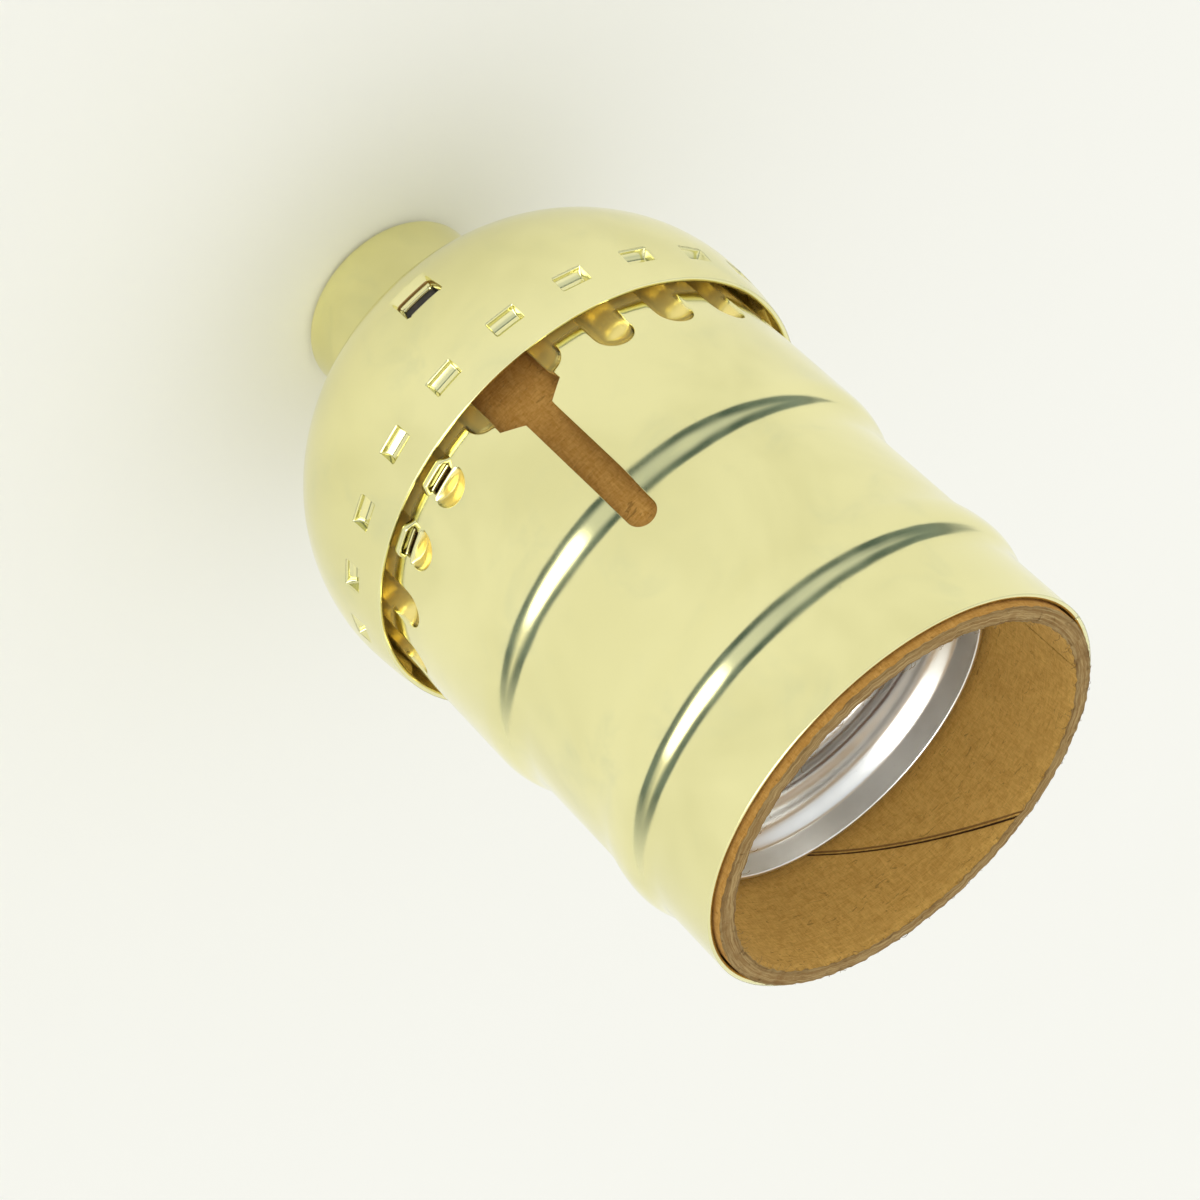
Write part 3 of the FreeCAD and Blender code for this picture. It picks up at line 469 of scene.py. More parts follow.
def cap_surface(profile):
    dimple_height = RIM_HEIGHT - DIMPLE_DROP
    louvre_top = RIM_HEIGHT - LOUVRE_DROP - LOUVRE_GAP

    def surface(turns, lengths, inset):
        radius, height = profile.at(lengths, inset)
        aside = from_nearest(turns, DIMPLE_COUNT) * BELLY_RADIUS
        above = height - dimple_height
        groove = np.sqrt(np.maximum((DIMPLE_TALL / 2 + inset) ** 2 - above ** 2, 0)) - inset
        ends = smooth((DIMPLE_WIDTH / 2 + inset + DIMPLE_EDGE - np.abs(aside)) / (2 * DIMPLE_EDGE))
        sink = DIMPLE_SINK * np.exp(-(aside ** 2 + 1.5 * above ** 2) / DIMPLE_SINK_REACH ** 2)
        radius = radius - np.maximum(groove, 0) * ends - sink
        beside = from_nearest(turns, 2) * radius
        flap = smooth((LOUVRE_WIDTH / 2 + LOUVRE_MARGIN - np.abs(beside)) / LOUVRE_BLEND)
        slope = np.clip((height - louvre_top + LOUVRE_FLAP) / LOUVRE_FLAP, 0, 1)
        past = smooth((louvre_top + LOUVRE_GAP - height) / (LOUVRE_BLEND / 2))
        return polar(radius - LOUVRE_PUSH * slope * flap * past, turns, height)

    return surface


def rounded_box(x, y, half_width, half_height, corner, steps=5, spacing=0.1):
    """Outline of a box with round corners, and points along its sides."""
    corners = []
    for side, (sx, sy) in enumerate(((1, 1), (-1, 1), (-1, -1), (1, -1))):
        for k in range(steps + 1):
            angle = math.radians(90 * side + 90 * k / steps)
            corners.append((x + sx * (half_width - corner) + corner * math.cos(angle),
                            y + sy * (half_height - corner) + corner * math.sin(angle)))
    return spaced(corners, spacing, closed=True)


def spaced(corners, spacing, closed=False):
    """A line through the corners with points no further apart than spacing."""
    points = []
    count = len(corners)
    for k in range(count if closed else count - 1):
        start, end = corners[k], corners[(k + 1) % count]
        steps = max(1, math.ceil(math.dist(start, end) / spacing))
        points += np.linspace(start, end, steps, endpoint=False).tolist()
    if not closed:
        points.append(list(corners[-1]))
    return np.array(points)


def add_cap():
    profile = cap_profile()
    dimple = profile.length_at(RIM_HEIGHT - DIMPLE_DROP)
    patches, holes = [], []
    for k in range(DIMPLE_COUNT):
        middle = across_sheet(90 + 360 * k / DIMPLE_COUNT, BELLY_RADIUS)
        patches.append((span(middle, DIMPLE_PATCH), span(dimple, DIMPLE_PATCH - 0.4), DIMPLE_STEP))
    mouth = profile.length_at(RIM_HEIGHT - LOUVRE_DROP)
    tip = profile.length_at(RIM_HEIGHT - LOUVRE_DROP - LOUVRE_GAP)
    hinge = profile.length_at(RIM_HEIGHT - LOUVRE_DROP - LOUVRE_GAP - LOUVRE_FLAP)
    stretch = BELLY_RADIUS / profile.point(mouth)[0]
    half = LOUVRE_WIDTH / 2 * stretch
    front, back = across_sheet(-90, BELLY_RADIUS), across_sheet(90, BELLY_RADIUS)
    for middle in (front, back):
        patches.append((span(middle, half + LOUVRE_PATCH), (hinge - 0.4, mouth + 0.6), LOUVRE_STEP))
        holes.append(rounded_box(middle, (tip + mouth) / 2, half, (mouth - tip) / 2, 0.3))
    hole_height = profile.length_at(SET_SCREW_HEIGHT)
    angles = circle(48)
    aside = np.arcsin(SET_SCREW_RADIUS * np.cos(angles) / NECK_RADIUS) * BELLY_RADIUS
    holes.append(np.stack([back + aside, hole_height + SET_SCREW_RADIUS * np.sin(angles)], axis=1))
    lengths = np.concatenate([np.linspace(0, 12, 48, endpoint=False), np.linspace(12, profile.total, 60)])
    net = cut_net(BELLY_RADIUS, CAP_COLUMNS, lengths, patches, holes)
    cap = sheet_mesh("cap_skin", net, cap_surface(profile), SHEET_WALL)
    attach(cap, "cap_and_core")
    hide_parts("cap")
    return cap


# Outer shell

def joggle(height, low, high, start, end):
    """Radius on two equal arcs that step sideways from start to end."""
    run, step = high - low, abs(end - start)
    bend = (run ** 2 + step ** 2) / (4 * step)
    near = np.clip(height - low, 0, run / 2)
    far = np.clip(high - height, 0, run / 2)
    first = bend - np.sqrt(bend ** 2 - near ** 2)
    last = step - (bend - np.sqrt(bend ** 2 - far ** 2))
    moved = np.where(height < (low + high) / 2, first, last)
    moved = np.where(height <= low, 0, np.where(height >= high, step, moved))
    return start + moved * math.copysign(1, end - start)


def shell_radius(height):
    """Outside radius of the sheet where nothing is pressed in."""
    step = joggle(height, STEP_START, STEP_END, SHELL_RADIUS, BARREL_RADIUS)
    rise = joggle(height, BEAD_START, BEAD_TOP, BARREL_RADIUS, BEAD_RADIUS)
    fall = joggle(height, BEAD_TOP, BEAD_END, BEAD_RADIUS, MOUTH_RADIUS)
    return np.where(height < BEAD_START, step, np.where(height < BEAD_TOP, rise, fall))


def off_angle(turns, angle):
    """Angle in radians, either way round, between the turns and an angle in degrees."""
    return np.abs((turns - math.radians(angle) + math.pi) % (2 * math.pi) - math.pi)


def shell_surface(turns, heights, inset):
    radius = shell_radius(heights) - inset
    aside = from_nearest(turns, DIMPLE_COUNT)
    end = SCOOP_END - np.where(off_angle(turns, -90) < 2 * math.pi / DIMPLE_COUNT, SCOOP_SHORT, 0)
    past_end = np.maximum(heights - end, 0)
    reach_square = (SCOOP_RADIUS + inset) ** 2 - past_end ** 2 - (SCOOP_AXIS * np.sin(aside)) ** 2
    scoop = SCOOP_AXIS * np.cos(aside) - np.sqrt(np.maximum(reach_square, 0))
    pressed = soft_least(radius, scoop, SHOULDER_ROUND)
    catch = catch_share(turns, heights)
    return polar(pressed * (1 - catch) + radius * catch, turns, heights)


def catch_share(turns, heights):
    """1 on the two bridges that stay unpressed beside the cap's rim, and 0 elsewhere."""
    share = np.zeros_like(turns)
    for angle in CATCH_ANGLES:
        within = off_angle(turns, angle) < math.pi / DIMPLE_COUNT
        low = smooth((heights - CATCH_LOW + CATCH_FADE) / CATCH_FADE)
        high = smooth((CATCH_HIGH + CATCH_FADE - heights) / CATCH_FADE)
        share = np.maximum(share, low * high * within)
    return share


def scoop_line(middle, level, end):
    """The line on the flat sheet along which a flute lies level above the shell's face."""
    reach = SHELL_RADIUS + level
    top = math.sqrt(SCOOP_RADIUS ** 2 - (SCOOP_AXIS - reach) ** 2)
    side = []
    for share in np.linspace(0, 1, 15):
        above = top * math.sin(share * math.pi / 2)
        size_square = SCOOP_RADIUS ** 2 - above ** 2
        cosine = (SCOOP_AXIS ** 2 + reach ** 2 - size_square) / (2 * SCOOP_AXIS * reach)
        side.append((math.acos(min(1, cosine)) * SHELL_RADIUS, end + above))
    side = [(side[0][0], SHELL_BOTTOM + 0.3)] + side
    left = [(middle - x, y) for x, y in side]
    right = [(middle + x, y) for x, y in side[-2::-1]]
    return spaced(left + right, CREASE_STEP)


def scoop_lines():
    """Lines along the shoulders of every flute, and across those that carry a catch."""
    lines = []
    slot = across_sheet(-90, SHELL_RADIUS)
    catches = [across_sheet(angle, SHELL_RADIUS) for angle in CATCH_ANGLES]
    for k in range(DIMPLE_COUNT):
        middle = across_sheet(90 + 360 * k / DIMPLE_COUNT, SHELL_RADIUS)
        for level in (-SHOULDER_ROUND, -SHOULDER_ROUND / 3, SHOULDER_ROUND / 3, SHOULDER_ROUND):
            beside_slot = abs(middle - slot) < SLOT_HEAD_HALF + SCOOP_RADIUS
            edge = scoop_line(middle, level, SCOOP_END - (SCOOP_SHORT if beside_slot else 0))
            if beside_slot:
                edge = edge[np.abs(edge[:, 0] - slot) > SLOT_HEAD_HALF + 0.15]
            if min(abs(middle - place) for place in catches) < 1:
                near = (edge[:, 1] >= CATCH_LOW - CATCH_CLEAR) & (edge[:, 1] <= CATCH_HIGH + CATCH_CLEAR)
                cuts = np.flatnonzero(near[1:] != near[:-1]) + 1
                pieces = zip(np.split(edge, cuts), np.split(near, cuts))
                lines += [piece for piece, covered in pieces if len(piece) > 1 and not covered[0]]
            else:
                lines.append(edge)
    for middle in catches:
        for height in (CATCH_LOW - CATCH_FADE, CATCH_LOW, CATCH_HIGH, CATCH_HIGH + CATCH_FADE):
            lines.append(spaced([(x, height) for x in span(middle, CATCH_PATCH - 0.2)], CATCH_STEP))
    return lines


def squared(share):
    """Pushes a circle's points out towards a square."""
    return np.copysign(np.abs(share) ** 0.45, share)


def catch_strip(angle, number):
    """The raised strip of one catch: level over the slit, with legs that run down to the sheet."""
    half_leg = math.radians(CATCH_HALF - CATCH_SLIT_HALF) * SHELL_RADIUS
    flat = math.radians(CATCH_SLIT_HALF) * SHELL_RADIUS - CATCH_CLEAR
    stations = np.linspace(-flat - half_leg, flat + half_leg, 61)
    lift = CATCH_LIFT * (1 - smooth((np.abs(stations) - flat) / half_leg)) - CATCH_SINK
    tilt = np.arctan(np.gradient(lift, stations))[:, None]
    lift, stations = lift[:, None], stations[:, None]
    corners = circle(12)
    across = squared(np.cos(corners)) * CATCH_STRIP / 2
    out = squared(np.sin(corners)) * CATCH_WALL / 2
    reach = SHELL_RADIUS - CATCH_WALL / 2 + lift + out * np.cos(tilt)
    turns = math.radians(angle) + (stations - out * np.sin(tilt)) / SHELL_RADIUS
    points = polar(reach, turns, CATCH_LOW + CATCH_STRIP / 2 + across).reshape(-1, 3)
    strip = mesh_object(f"shell_catch_{number}", points, rod_faces(len(stations), len(corners)))
    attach(strip, "shell")
    return strip


def slot_outline(middle):
    """The T-shaped slot on the flat sheet, open past the sheet's lower edge."""
    shoulder, neck = RIM_HEIGHT + SLOT_SHOULDER, RIM_HEIGHT + SLOT_NECK
    end = RIM_HEIGHT + SLOT_REACH - SLOT_HALF
    low = SHELL_BOTTOM - 1
    corners = [(SLOT_HEAD_HALF, low), (SLOT_HEAD_HALF, shoulder), (SLOT_HALF, neck)]
    angles = np.radians(np.linspace(0, 180, 17))
    round_end = [(SLOT_HALF * math.cos(turn), end + SLOT_HALF * math.sin(turn)) for turn in angles]
    outline = corners + round_end + [(-x, y) for x, y in corners[::-1]]
    return np.array([(middle + math.asin(x / SHELL_RADIUS) * SHELL_RADIUS, y) for x, y in outline])


def add_outer_shell():
    holes = [spaced(slot_outline(across_sheet(-90, SHELL_RADIUS)), CREASE_STEP, closed=True)]
    slit = CATCH_LOW + CATCH_STRIP + CATCH_SLIT / 2
    patches = []
    for angle in CATCH_ANGLES:
        middle = across_sheet(angle, SHELL_RADIUS)
        half = math.radians(CATCH_SLIT_HALF) * SHELL_RADIUS
        holes.append(rounded_box(middle, slit, half, CATCH_SLIT / 2, 0.12))
        patches.append((span(middle, CATCH_PATCH), (CATCH_LOW - 0.3, CATCH_HIGH + 0.4), CATCH_STEP))
    stretches = [(SHELL_BOTTOM, 22), (SCOOP_END, 10), (RIM_HEIGHT + SCOOP_REACH + 0.4, 12), (STEP_START, 24),
                 (STEP_END, 8)]
    ends = [start for start, _ in stretches[1:]] + [BEAD_START]
    lengths = [np.linspace(start, end, rows, endpoint=False) for (start, rows), end in zip(stretches, ends)]
    lengths = np.concatenate(lengths + [np.linspace(BEAD_START, SHELL_MOUTH, 44)])
    net = cut_net(SHELL_RADIUS, SHELL_COLUMNS, lengths, patches, holes, scoop_lines())
    shell = sheet_mesh("outer_shell_skin", net, shell_surface, SHELL_WALL)
    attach(shell, "shell")
    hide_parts("outer_shell")
    return shell


# Liner

def ragged(turns, offset=0.0):
    """An uneven line round the axis, between about -1 and 1."""
    return sum(size * np.sin(count * turns + phase + offset * count) for count, phase, size in RAGGED) / 2


def seam_height(turns):
    """Height of the liner's spiral seam at each angle in radians, repeated every SEAM_PITCH."""
    height = SEAM_HEIGHT + SEAM_PITCH * (np.degrees(turns) - SEAM_ANGLE) / 360
    middle = (LINER_BOTTOM + LINER_TOP) / 2
    return (height - middle + SEAM_PITCH / 2) % SEAM_PITCH - SEAM_PITCH / 2 + middle


def liner_surface(turns, heights, inset):
    """The wound tube: its inside shows the seam, the edge of the ply below it and the lap above it."""
    radius = np.full_like(heights, LINER_OUTER) - inset
    near_end = smooth((heights - LINER_TOP + END_REACH) / END_REACH)
    if inset > 0:
        off = heights - seam_height(turns)
        seam = SEAM_DEPTH * np.exp(-(off / SEAM_WIDTH) ** 2)
        ply = PLY_DEPTH * np.exp(-((off + PLY_DROP) / PLY_WIDTH) ** 2)
        lap = LAP_RISE * smooth((off + 0.05) / 0.1) * smooth((LAP_REACH - off) / LAP_REACH)
        radius = radius + seam + ply - lap - near_end * (END_WEAR * ragged(turns, 1.3) - END_CHAMFER)
    else:
        radius = radius - near_end * SIDE_WEAR * (1 + ragged(turns, 0.7))
    return polar(radius, turns, heights - near_end * END_WEAR * (1 + ragged(turns)))


def liner_net():
    """A net whose rows close up along the spiral seam."""
    rows = np.concatenate([np.linspace(LINER_BOTTOM, LINER_TOP - 1, 46),
                           LINER_TOP - np.array([0.7, 0.45, 0.2, 0])])
    beside = np.array([-0.5, -0.42, -0.36, -0.3, -0.24, -0.18, -0.12, -0.07, -0.03,
                       0, 0.03, 0.07, 0.12, 0.2, 0.5])
    faces = tube_faces(len(rows) + len(beside), LINER_COLUMNS)
    turns = circle(LINER_COLUMNS)
    heights = []
    for seam in seam_height(turns):
        line_rows = np.clip(seam + beside, LINER_BOTTOM + 0.001, LINER_TOP - 0.001)
        heights.append(np.sort(np.concatenate([rows, line_rows + np.arange(len(beside)) * 1e-5])))
    heights = np.array(heights).T
    points = np.stack([np.broadcast_to(turns, heights.shape), heights], axis=-1)
    return points.reshape(-1, 2), faces


def add_liner():
    liner = sheet_mesh("shell_liner_tube", liner_net(), liner_surface, LINER_WALL, END_FUZZ)
    for polygon, group in zip(liner.data.polygons, liner.data.attributes["group"].data):
        polygon.material_index = group.value
    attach(liner, "shell")
    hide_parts("shell_liner")
    return liner


def add_fuzz():
    """Loose fibres along the sawn end of the liner."""
    random.seed(7)
    points, faces = [], []
    for _ in range(FIBRE_COUNT):
        turn = random.uniform(0, 2 * math.pi)
        reach = LINER_OUTER - random.choice((random.uniform(0.05, 0.3), LINER_WALL - random.uniform(0, 0.25),
                                             random.uniform(0.2, LINER_WALL)))
        heading = random.uniform(0, 2 * math.pi)
        length = random.uniform(0.25, 0.9)
        curl = random.uniform(-1.5, 1.5)
        thick = random.uniform(0.012, 0.024)
        faces += rod_faces(FIBRE_STEPS + 1, 3, len(points))
        x, y = reach, 0.0
        for k in range(FIBRE_STEPS + 1):
            z = LINER_TOP - 0.1 + 0.12 * math.sin(math.pi * k / FIBRE_STEPS)
            for angle in circle(3):
                radius = min(x + thick * math.cos(angle), LINER_OUTER + 0.02)
                points.append(polar(radius, turn + y / reach, z + thick * math.sin(angle)))
            x += math.cos(heading) * length / FIBRE_STEPS
            y += math.sin(heading) * length / FIBRE_STEPS
            heading += curl / FIBRE_STEPS
    fuzz = mesh_object("shell_liner_fibres", np.array(points), faces)
    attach(fuzz, "shell")
    return fuzz


# Lamp screw shell

def screw_profile():
    wall_radius = (THREAD_ROOT + THREAD_CREST) / 2 + SCREW_WALL
    high = SCREW_RIM - THREAD_END
    flare_top = SCREW_RIM - THREAD_END / 2
    shares = np.arange(FLARE_STEPS) / FLARE_STEPS
    flare = np.stack([wall_radius + (SCREW_RIM_RADIUS - wall_radius) * smooth(shares),
                      high + (flare_top - high) * shares], axis=1)
    corner = (wall_radius - FLOOR_CORNER, SCREW_FLOOR + FLOOR_CORNER)
    return Profile(line((FLOOR_HOLE, SCREW_FLOOR), (wall_radius - FLOOR_CORNER, SCREW_FLOOR)),
                   arc(corner, FLOOR_CORNER, -90, 0),
                   line((wall_radius, SCREW_FLOOR + FLOOR_CORNER), (wall_radius, high)),
                   flare,
                   line((SCREW_RIM_RADIUS, flare_top), (SCREW_RIM_RADIUS, SCREW_RIM)),
                   [(SCREW_RIM_RADIUS, SCREW_RIM)])


def screw_surface(profile):
    low, high = SCREW_FLOOR + THREAD_START, SCREW_RIM - THREAD_END

    def surface(turns, lengths, inset):
        radius, height = profile.at(lengths, inset)
        fade = smooth(np.minimum(height - low, high - height) / THREAD_FADE)
        wave = (THREAD_ROOT - THREAD_CREST) / 2 * np.cos(2 * math.pi * height / THREAD_PITCH - turns)
        return polar(radius + wave * fade, turns, height)

    return surface


def add_screw_shell():
    profile = screw_profile()
    net = grid_net(SCREW_COLUMNS, np.linspace(0, profile.total, SCREW_ROWS))
    screw = sheet_mesh("screw_shell_skin", net, screw_surface(profile), SCREW_WALL)
    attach(screw, "cap_and_core")
    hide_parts("screw_shell")
    return screw


# Neck bushing

def add_bushing_thread():
    """The ridge of the pipe thread, wound up the bushing's bore."""
    bottom, top = bottom_of("neck_bushing").z + PIPE_PITCH, top_of("neck_bushing").z - PIPE_PITCH
    steps = int((top - bottom) / PIPE_PITCH * PIPE_STEPS)
    count = np.arange(steps + 1)[:, None]
    grown = smooth(np.minimum(count, steps - count) / PIPE_RUN_IN)
    out, up = np.array(PIPE_SECTION).T
    reach = BORE_RADIUS + np.where(out < 0, out * grown, out)
    points = polar(reach, 2 * math.pi * count / PIPE_STEPS, bottom + PIPE_PITCH * count / PIPE_STEPS + up)
    faces = [face[::-1] for face in rod_faces(steps + 1, len(PIPE_SECTION))]
    thread = mesh_object("neck_bushing_thread", points.reshape(-1, 3), faces)
    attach(thread, "cap_and_core")
    return thread


# Shader nodes

class Tree:
    """Short ways to add nodes to a material or a world."""

    def __init__(self, node_tree):
        self.nodes, self.links = node_tree.nodes, node_tree.links

    def node(self, kind, **inputs):
        node = self.nodes.new(kind)
        for name, value in inputs.items():
            self.feed(node.inputs[name.replace("_", " ")], value)
        return node

    def feed(self, socket, value):
        if isinstance(value, bpy.types.NodeSocket):
            self.links.new(value, socket)
        elif isinstance(value, tuple) and len(value) == 3 and socket.type == "RGBA":
            socket.default_value = (*value, 1)
        else:
            socket.default_value = value

    def math(self, operation, *values):
        return self.work_out("ShaderNodeMath", operation, values)["Value"]

    def vector(self, operation, *values, output="Vector"):
        return self.work_out("ShaderNodeVectorMath", operation, values)[output]

    def work_out(self, kind, operation, values):
        node = self.nodes.new(kind)
        node.operation = operation
        for socket, value in zip(node.inputs, values):
            self.feed(socket, value)
        return node.outputs

    def band(self, value, low, high):
        """Runs smoothly from 0 at low to 1 at high."""
        node = self.node("ShaderNodeMapRange", Value=value, From_Min=low, From_Max=high)
        node.interpolation_type = "SMOOTHSTEP"
        return node.outputs["Result"]

    def mix(self, share, first, second):
        node = self.nodes.new("ShaderNodeMix")
        node.data_type = "RGBA"
        self.feed(node.inputs["Factor"], share)
        self.feed(node.inputs["A"], first)
        self.feed(node.inputs["B"], second)
        return node.outputs["Result"]

    def blend(self, share, low, high):
        """A number between low and high."""
        return self.math("MULTIPLY_ADD", share, high - low, low)


# Camera, floor and light

def add_camera():
    """Puts the camera where the photograph was taken from, rolled as the socket lay there."""
    data = bpy.data.cameras.new("camera")
    data.lens = LENS
    data.sensor_width = SENSOR
    data.sensor_fit = "HORIZONTAL"
    camera = bpy.data.objects.new("camera", data)
    bpy.context.scene.collection.objects.link(camera)
    back = CAMERA_BACK.normalized()
    up = back.cross(CAMERA_RIGHT).normalized()
    right = up.cross(back)
    turn = Matrix((right, up, back)).transposed().to_4x4()
    camera.matrix_world = Matrix.Translation(CAMERA_PLACE * MM) @ turn
    bpy.context.scene.camera = camera


def add_floor():
    """A round pale table, small enough that the polished steps mirror the room beyond its edge."""
    floor = mesh_object("floor", polar(FLOOR_RADIUS, circle(FLOOR_SIDES), 0), [tuple(range(FLOOR_SIDES))])
    look = Look("floor", (0.93, 0.93, 0.88), 0.8)
    look.sheen(0.2)
    look.colour(look.mix(look.noise(45, 3), (0.925, 0.925, 0.872), (0.935, 0.935, 0.888)))
    floor.data.materials.append(look.material)


def add_light():
    """An even white tent. Mirrors see a room in it: a dark foot, grey walls, and a lamp near the camera."""
    world = bpy.data.worlds.new("studio")
    world.use_nodes = True
    tree = Tree(world.node_tree)
    direction = tree.node("ShaderNodeTexCoord").outputs["Generated"]
    height = tree.node("ShaderNodeSeparateXYZ", Vector=direction).outputs["Z"]
    flat = tree.vector("NORMALIZE", tree.vector("MULTIPLY", direction, (1, 1, 0)))

    def beside(azimuth, edge, core):
        """1 within core degrees of an azimuth, fading to 0 at edge degrees."""
        side = math.radians(azimuth)
        dot = tree.vector("DOT_PRODUCT", flat, (math.cos(side), math.sin(side), 0), output="Value")
        return tree.band(dot, math.cos(math.radians(edge)), math.cos(math.radians(core)))

    def above(elevation, fade):
        level = math.sin(math.radians(elevation))
        return tree.band(height, level - fade, level + fade)

    uneven = tree.node("ShaderNodeTexNoise", Vector=direction, Scale=2.6, Detail=3.0).outputs["Fac"]
    patchy = tree.band(uneven, 0.38, 0.62)
    foot = tree.mix(patchy, (0.07, 0.115, 0.13), (0.2, 0.26, 0.29))
    wall = tree.mix(patchy, (0.62, 0.67, 0.72), (0.74, 0.78, 0.8))
    upper = tree.mix(above(40, 0.15), wall, (0.98, 0.99, 0.99))
    bright = tree.mix(beside(BRIGHT_SIDE, 46, 30), upper, (1.08, 1.06, 0.95))
    room = tree.mix(above(6, 0.1), foot, bright)
    tent = tree.mix(beside(CAMERA_SIDE, 155, 84), (0.98, 0.99, 0.98), room)
    lamp = tree.math("MULTIPLY", beside(LAMP_SIDE, 27, 15), above(7, 0.07))
    mirrored = tree.mix(lamp, tent, (4.2, 4.2, 4.1))
    rays = tree.node("ShaderNodeLightPath").outputs
    lit = tree.mix(rays["Is Glossy Ray"], (1, 1, 0.985), mirrored)
    clear = tree.mix(rays["Is Camera Ray"], lit, (0.925, 0.928, 0.87))
    tree.feed(tree.nodes["Background"].inputs["Color"], clear)
    bpy.context.scene.world = world


class Look(Tree):
    """A material. Its textures run in millimetres on the object."""

    def __init__(self, name, colour, roughness, metallic=0.0):
        self.material = bpy.data.materials.new(name)
        self.material.use_nodes = True
        super().__init__(self.material.node_tree)
        self.shader = self.nodes["Principled BSDF"]
        self.colour(colour)
        self.roughness(roughness)
        self.metallic(metallic)
        self.place = self.scaled(self.node("ShaderNodeTexCoord").outputs["Object"], 1 / MM)

    def scaled(self, vector, factor):
        factors = factor if isinstance(factor, tuple) else (factor, factor, factor)
        return self.vector("MULTIPLY", vector, factors)

    def round_place(self):
        """Coordinates unrolled from the axis: length round it, height, and radius."""
        axes = self.node("ShaderNodeSeparateXYZ", Vector=self.place)
        turn = self.math("ARCTAN2", axes.outputs["Y"], axes.outputs["X"])
        radius = self.vector("LENGTH", self.scaled(self.place, (1, 1, 0)), output="Value")
        around = self.math("MULTIPLY", turn, LINER_OUTER)
        return self.node("ShaderNodeCombineXYZ", X=around, Y=axes.outputs["Z"], Z=radius).outputs[0]

    def painted_bounce_zone(self, radius, height):
        """1 inside a radius and below a height, and under the cap's rim, and 0 elsewhere: where bounce light
        is painted on the brass.
        """
        axes = self.node("ShaderNodeSeparateXYZ", Vector=self.round_place())
        inward = self.band(axes.outputs["Z"], radius, radius - 0.25)
        below = self.band(axes.outputs["Y"], height, height - 0.5)
        covered = self.band(axes.outputs["Y"], RIM_HEIGHT + 0.5, RIM_HEIGHT - 0.1)
        return self.math("MAXIMUM", self.math("MULTIPLY", inward, below), covered)

    def seam_line(self, offset, width):
        """1 on a line offset millimetres above the liner's spiral seam, and 0 beside it."""
        axes = self.node("ShaderNodeSeparateXYZ", Vector=self.round_place())
        turn = self.math("MULTIPLY", axes.outputs["X"], 180 / math.pi / LINER_OUTER)
        rise = self.math("MULTIPLY", self.math("SUBTRACT", turn, SEAM_ANGLE), SEAM_PITCH / 360)
        above = self.math("SUBTRACT", self.math("SUBTRACT", axes.outputs["Y"], SEAM_HEIGHT + offset), rise)
        wrapped = self.math("WRAP", above, SEAM_PITCH / 2, -SEAM_PITCH / 2)
        ragged_line = self.math("MULTIPLY_ADD", self.noise(0.5, 3, 0.6), 0.08, self.math("ABSOLUTE", wrapped))
        return self.band(ragged_line, width + 0.04, width * 0.5 + 0.02)

    def noise(self, size, detail=3.0, roughness=0.5, stretch=(1.0, 1.0, 1.0), place=None, distortion=0.0):
        """Noise with features of about size millimetres, longer along the axes that stretch names."""
        factors = tuple(1 / (size * along) for along in stretch)
        node = self.node("ShaderNodeTexNoise", Vector=self.scaled(place or self.place, factors), Scale=1.0,
                         Detail=detail, Roughness=roughness, Distortion=distortion)
        return node.outputs["Fac"]

    def specks(self, spacing, radius):
        """1 inside round specks scattered about spacing millimetres apart, and 0 elsewhere."""
        node = self.node("ShaderNodeTexVoronoi", Vector=self.scaled(self.place, 1 / spacing), Scale=1.0)
        return self.band(node.outputs["Distance"], radius / spacing, radius / spacing * 0.6)

    def stain(self, tone, share, strength, colour):
        """Lays a colour over a tone where share is 1, as strongly as strength says."""
        return self.mix(self.math("MULTIPLY", share, strength), tone, colour)

    def colour(self, value):
        self.feed(self.shader.inputs["Base Color"], value)

    def metallic(self, value):
        self.feed(self.shader.inputs["Metallic"], value)

    def sheen(self, value):
        self.feed(self.shader.inputs["Specular IOR Level"], value)

    def roughness(self, value):
        self.feed(self.shader.inputs["Roughness"], value)

    def bump(self, height, depth):
        """Bump of depth millimetres; a second call lies on top of the first."""
        node = self.node("ShaderNodeBump", Height=height, Distance=depth * MM)
        normal = self.shader.inputs["Normal"]
        if normal.links:
            self.links.new(normal.links[0].from_socket, node.inputs["Normal"])
        self.links.new(node.outputs["Normal"], normal)


# Materials

def shade(colour, factor):
    """A colour made darker or lighter."""
    return tuple(min(1, factor * channel) for channel in colour)


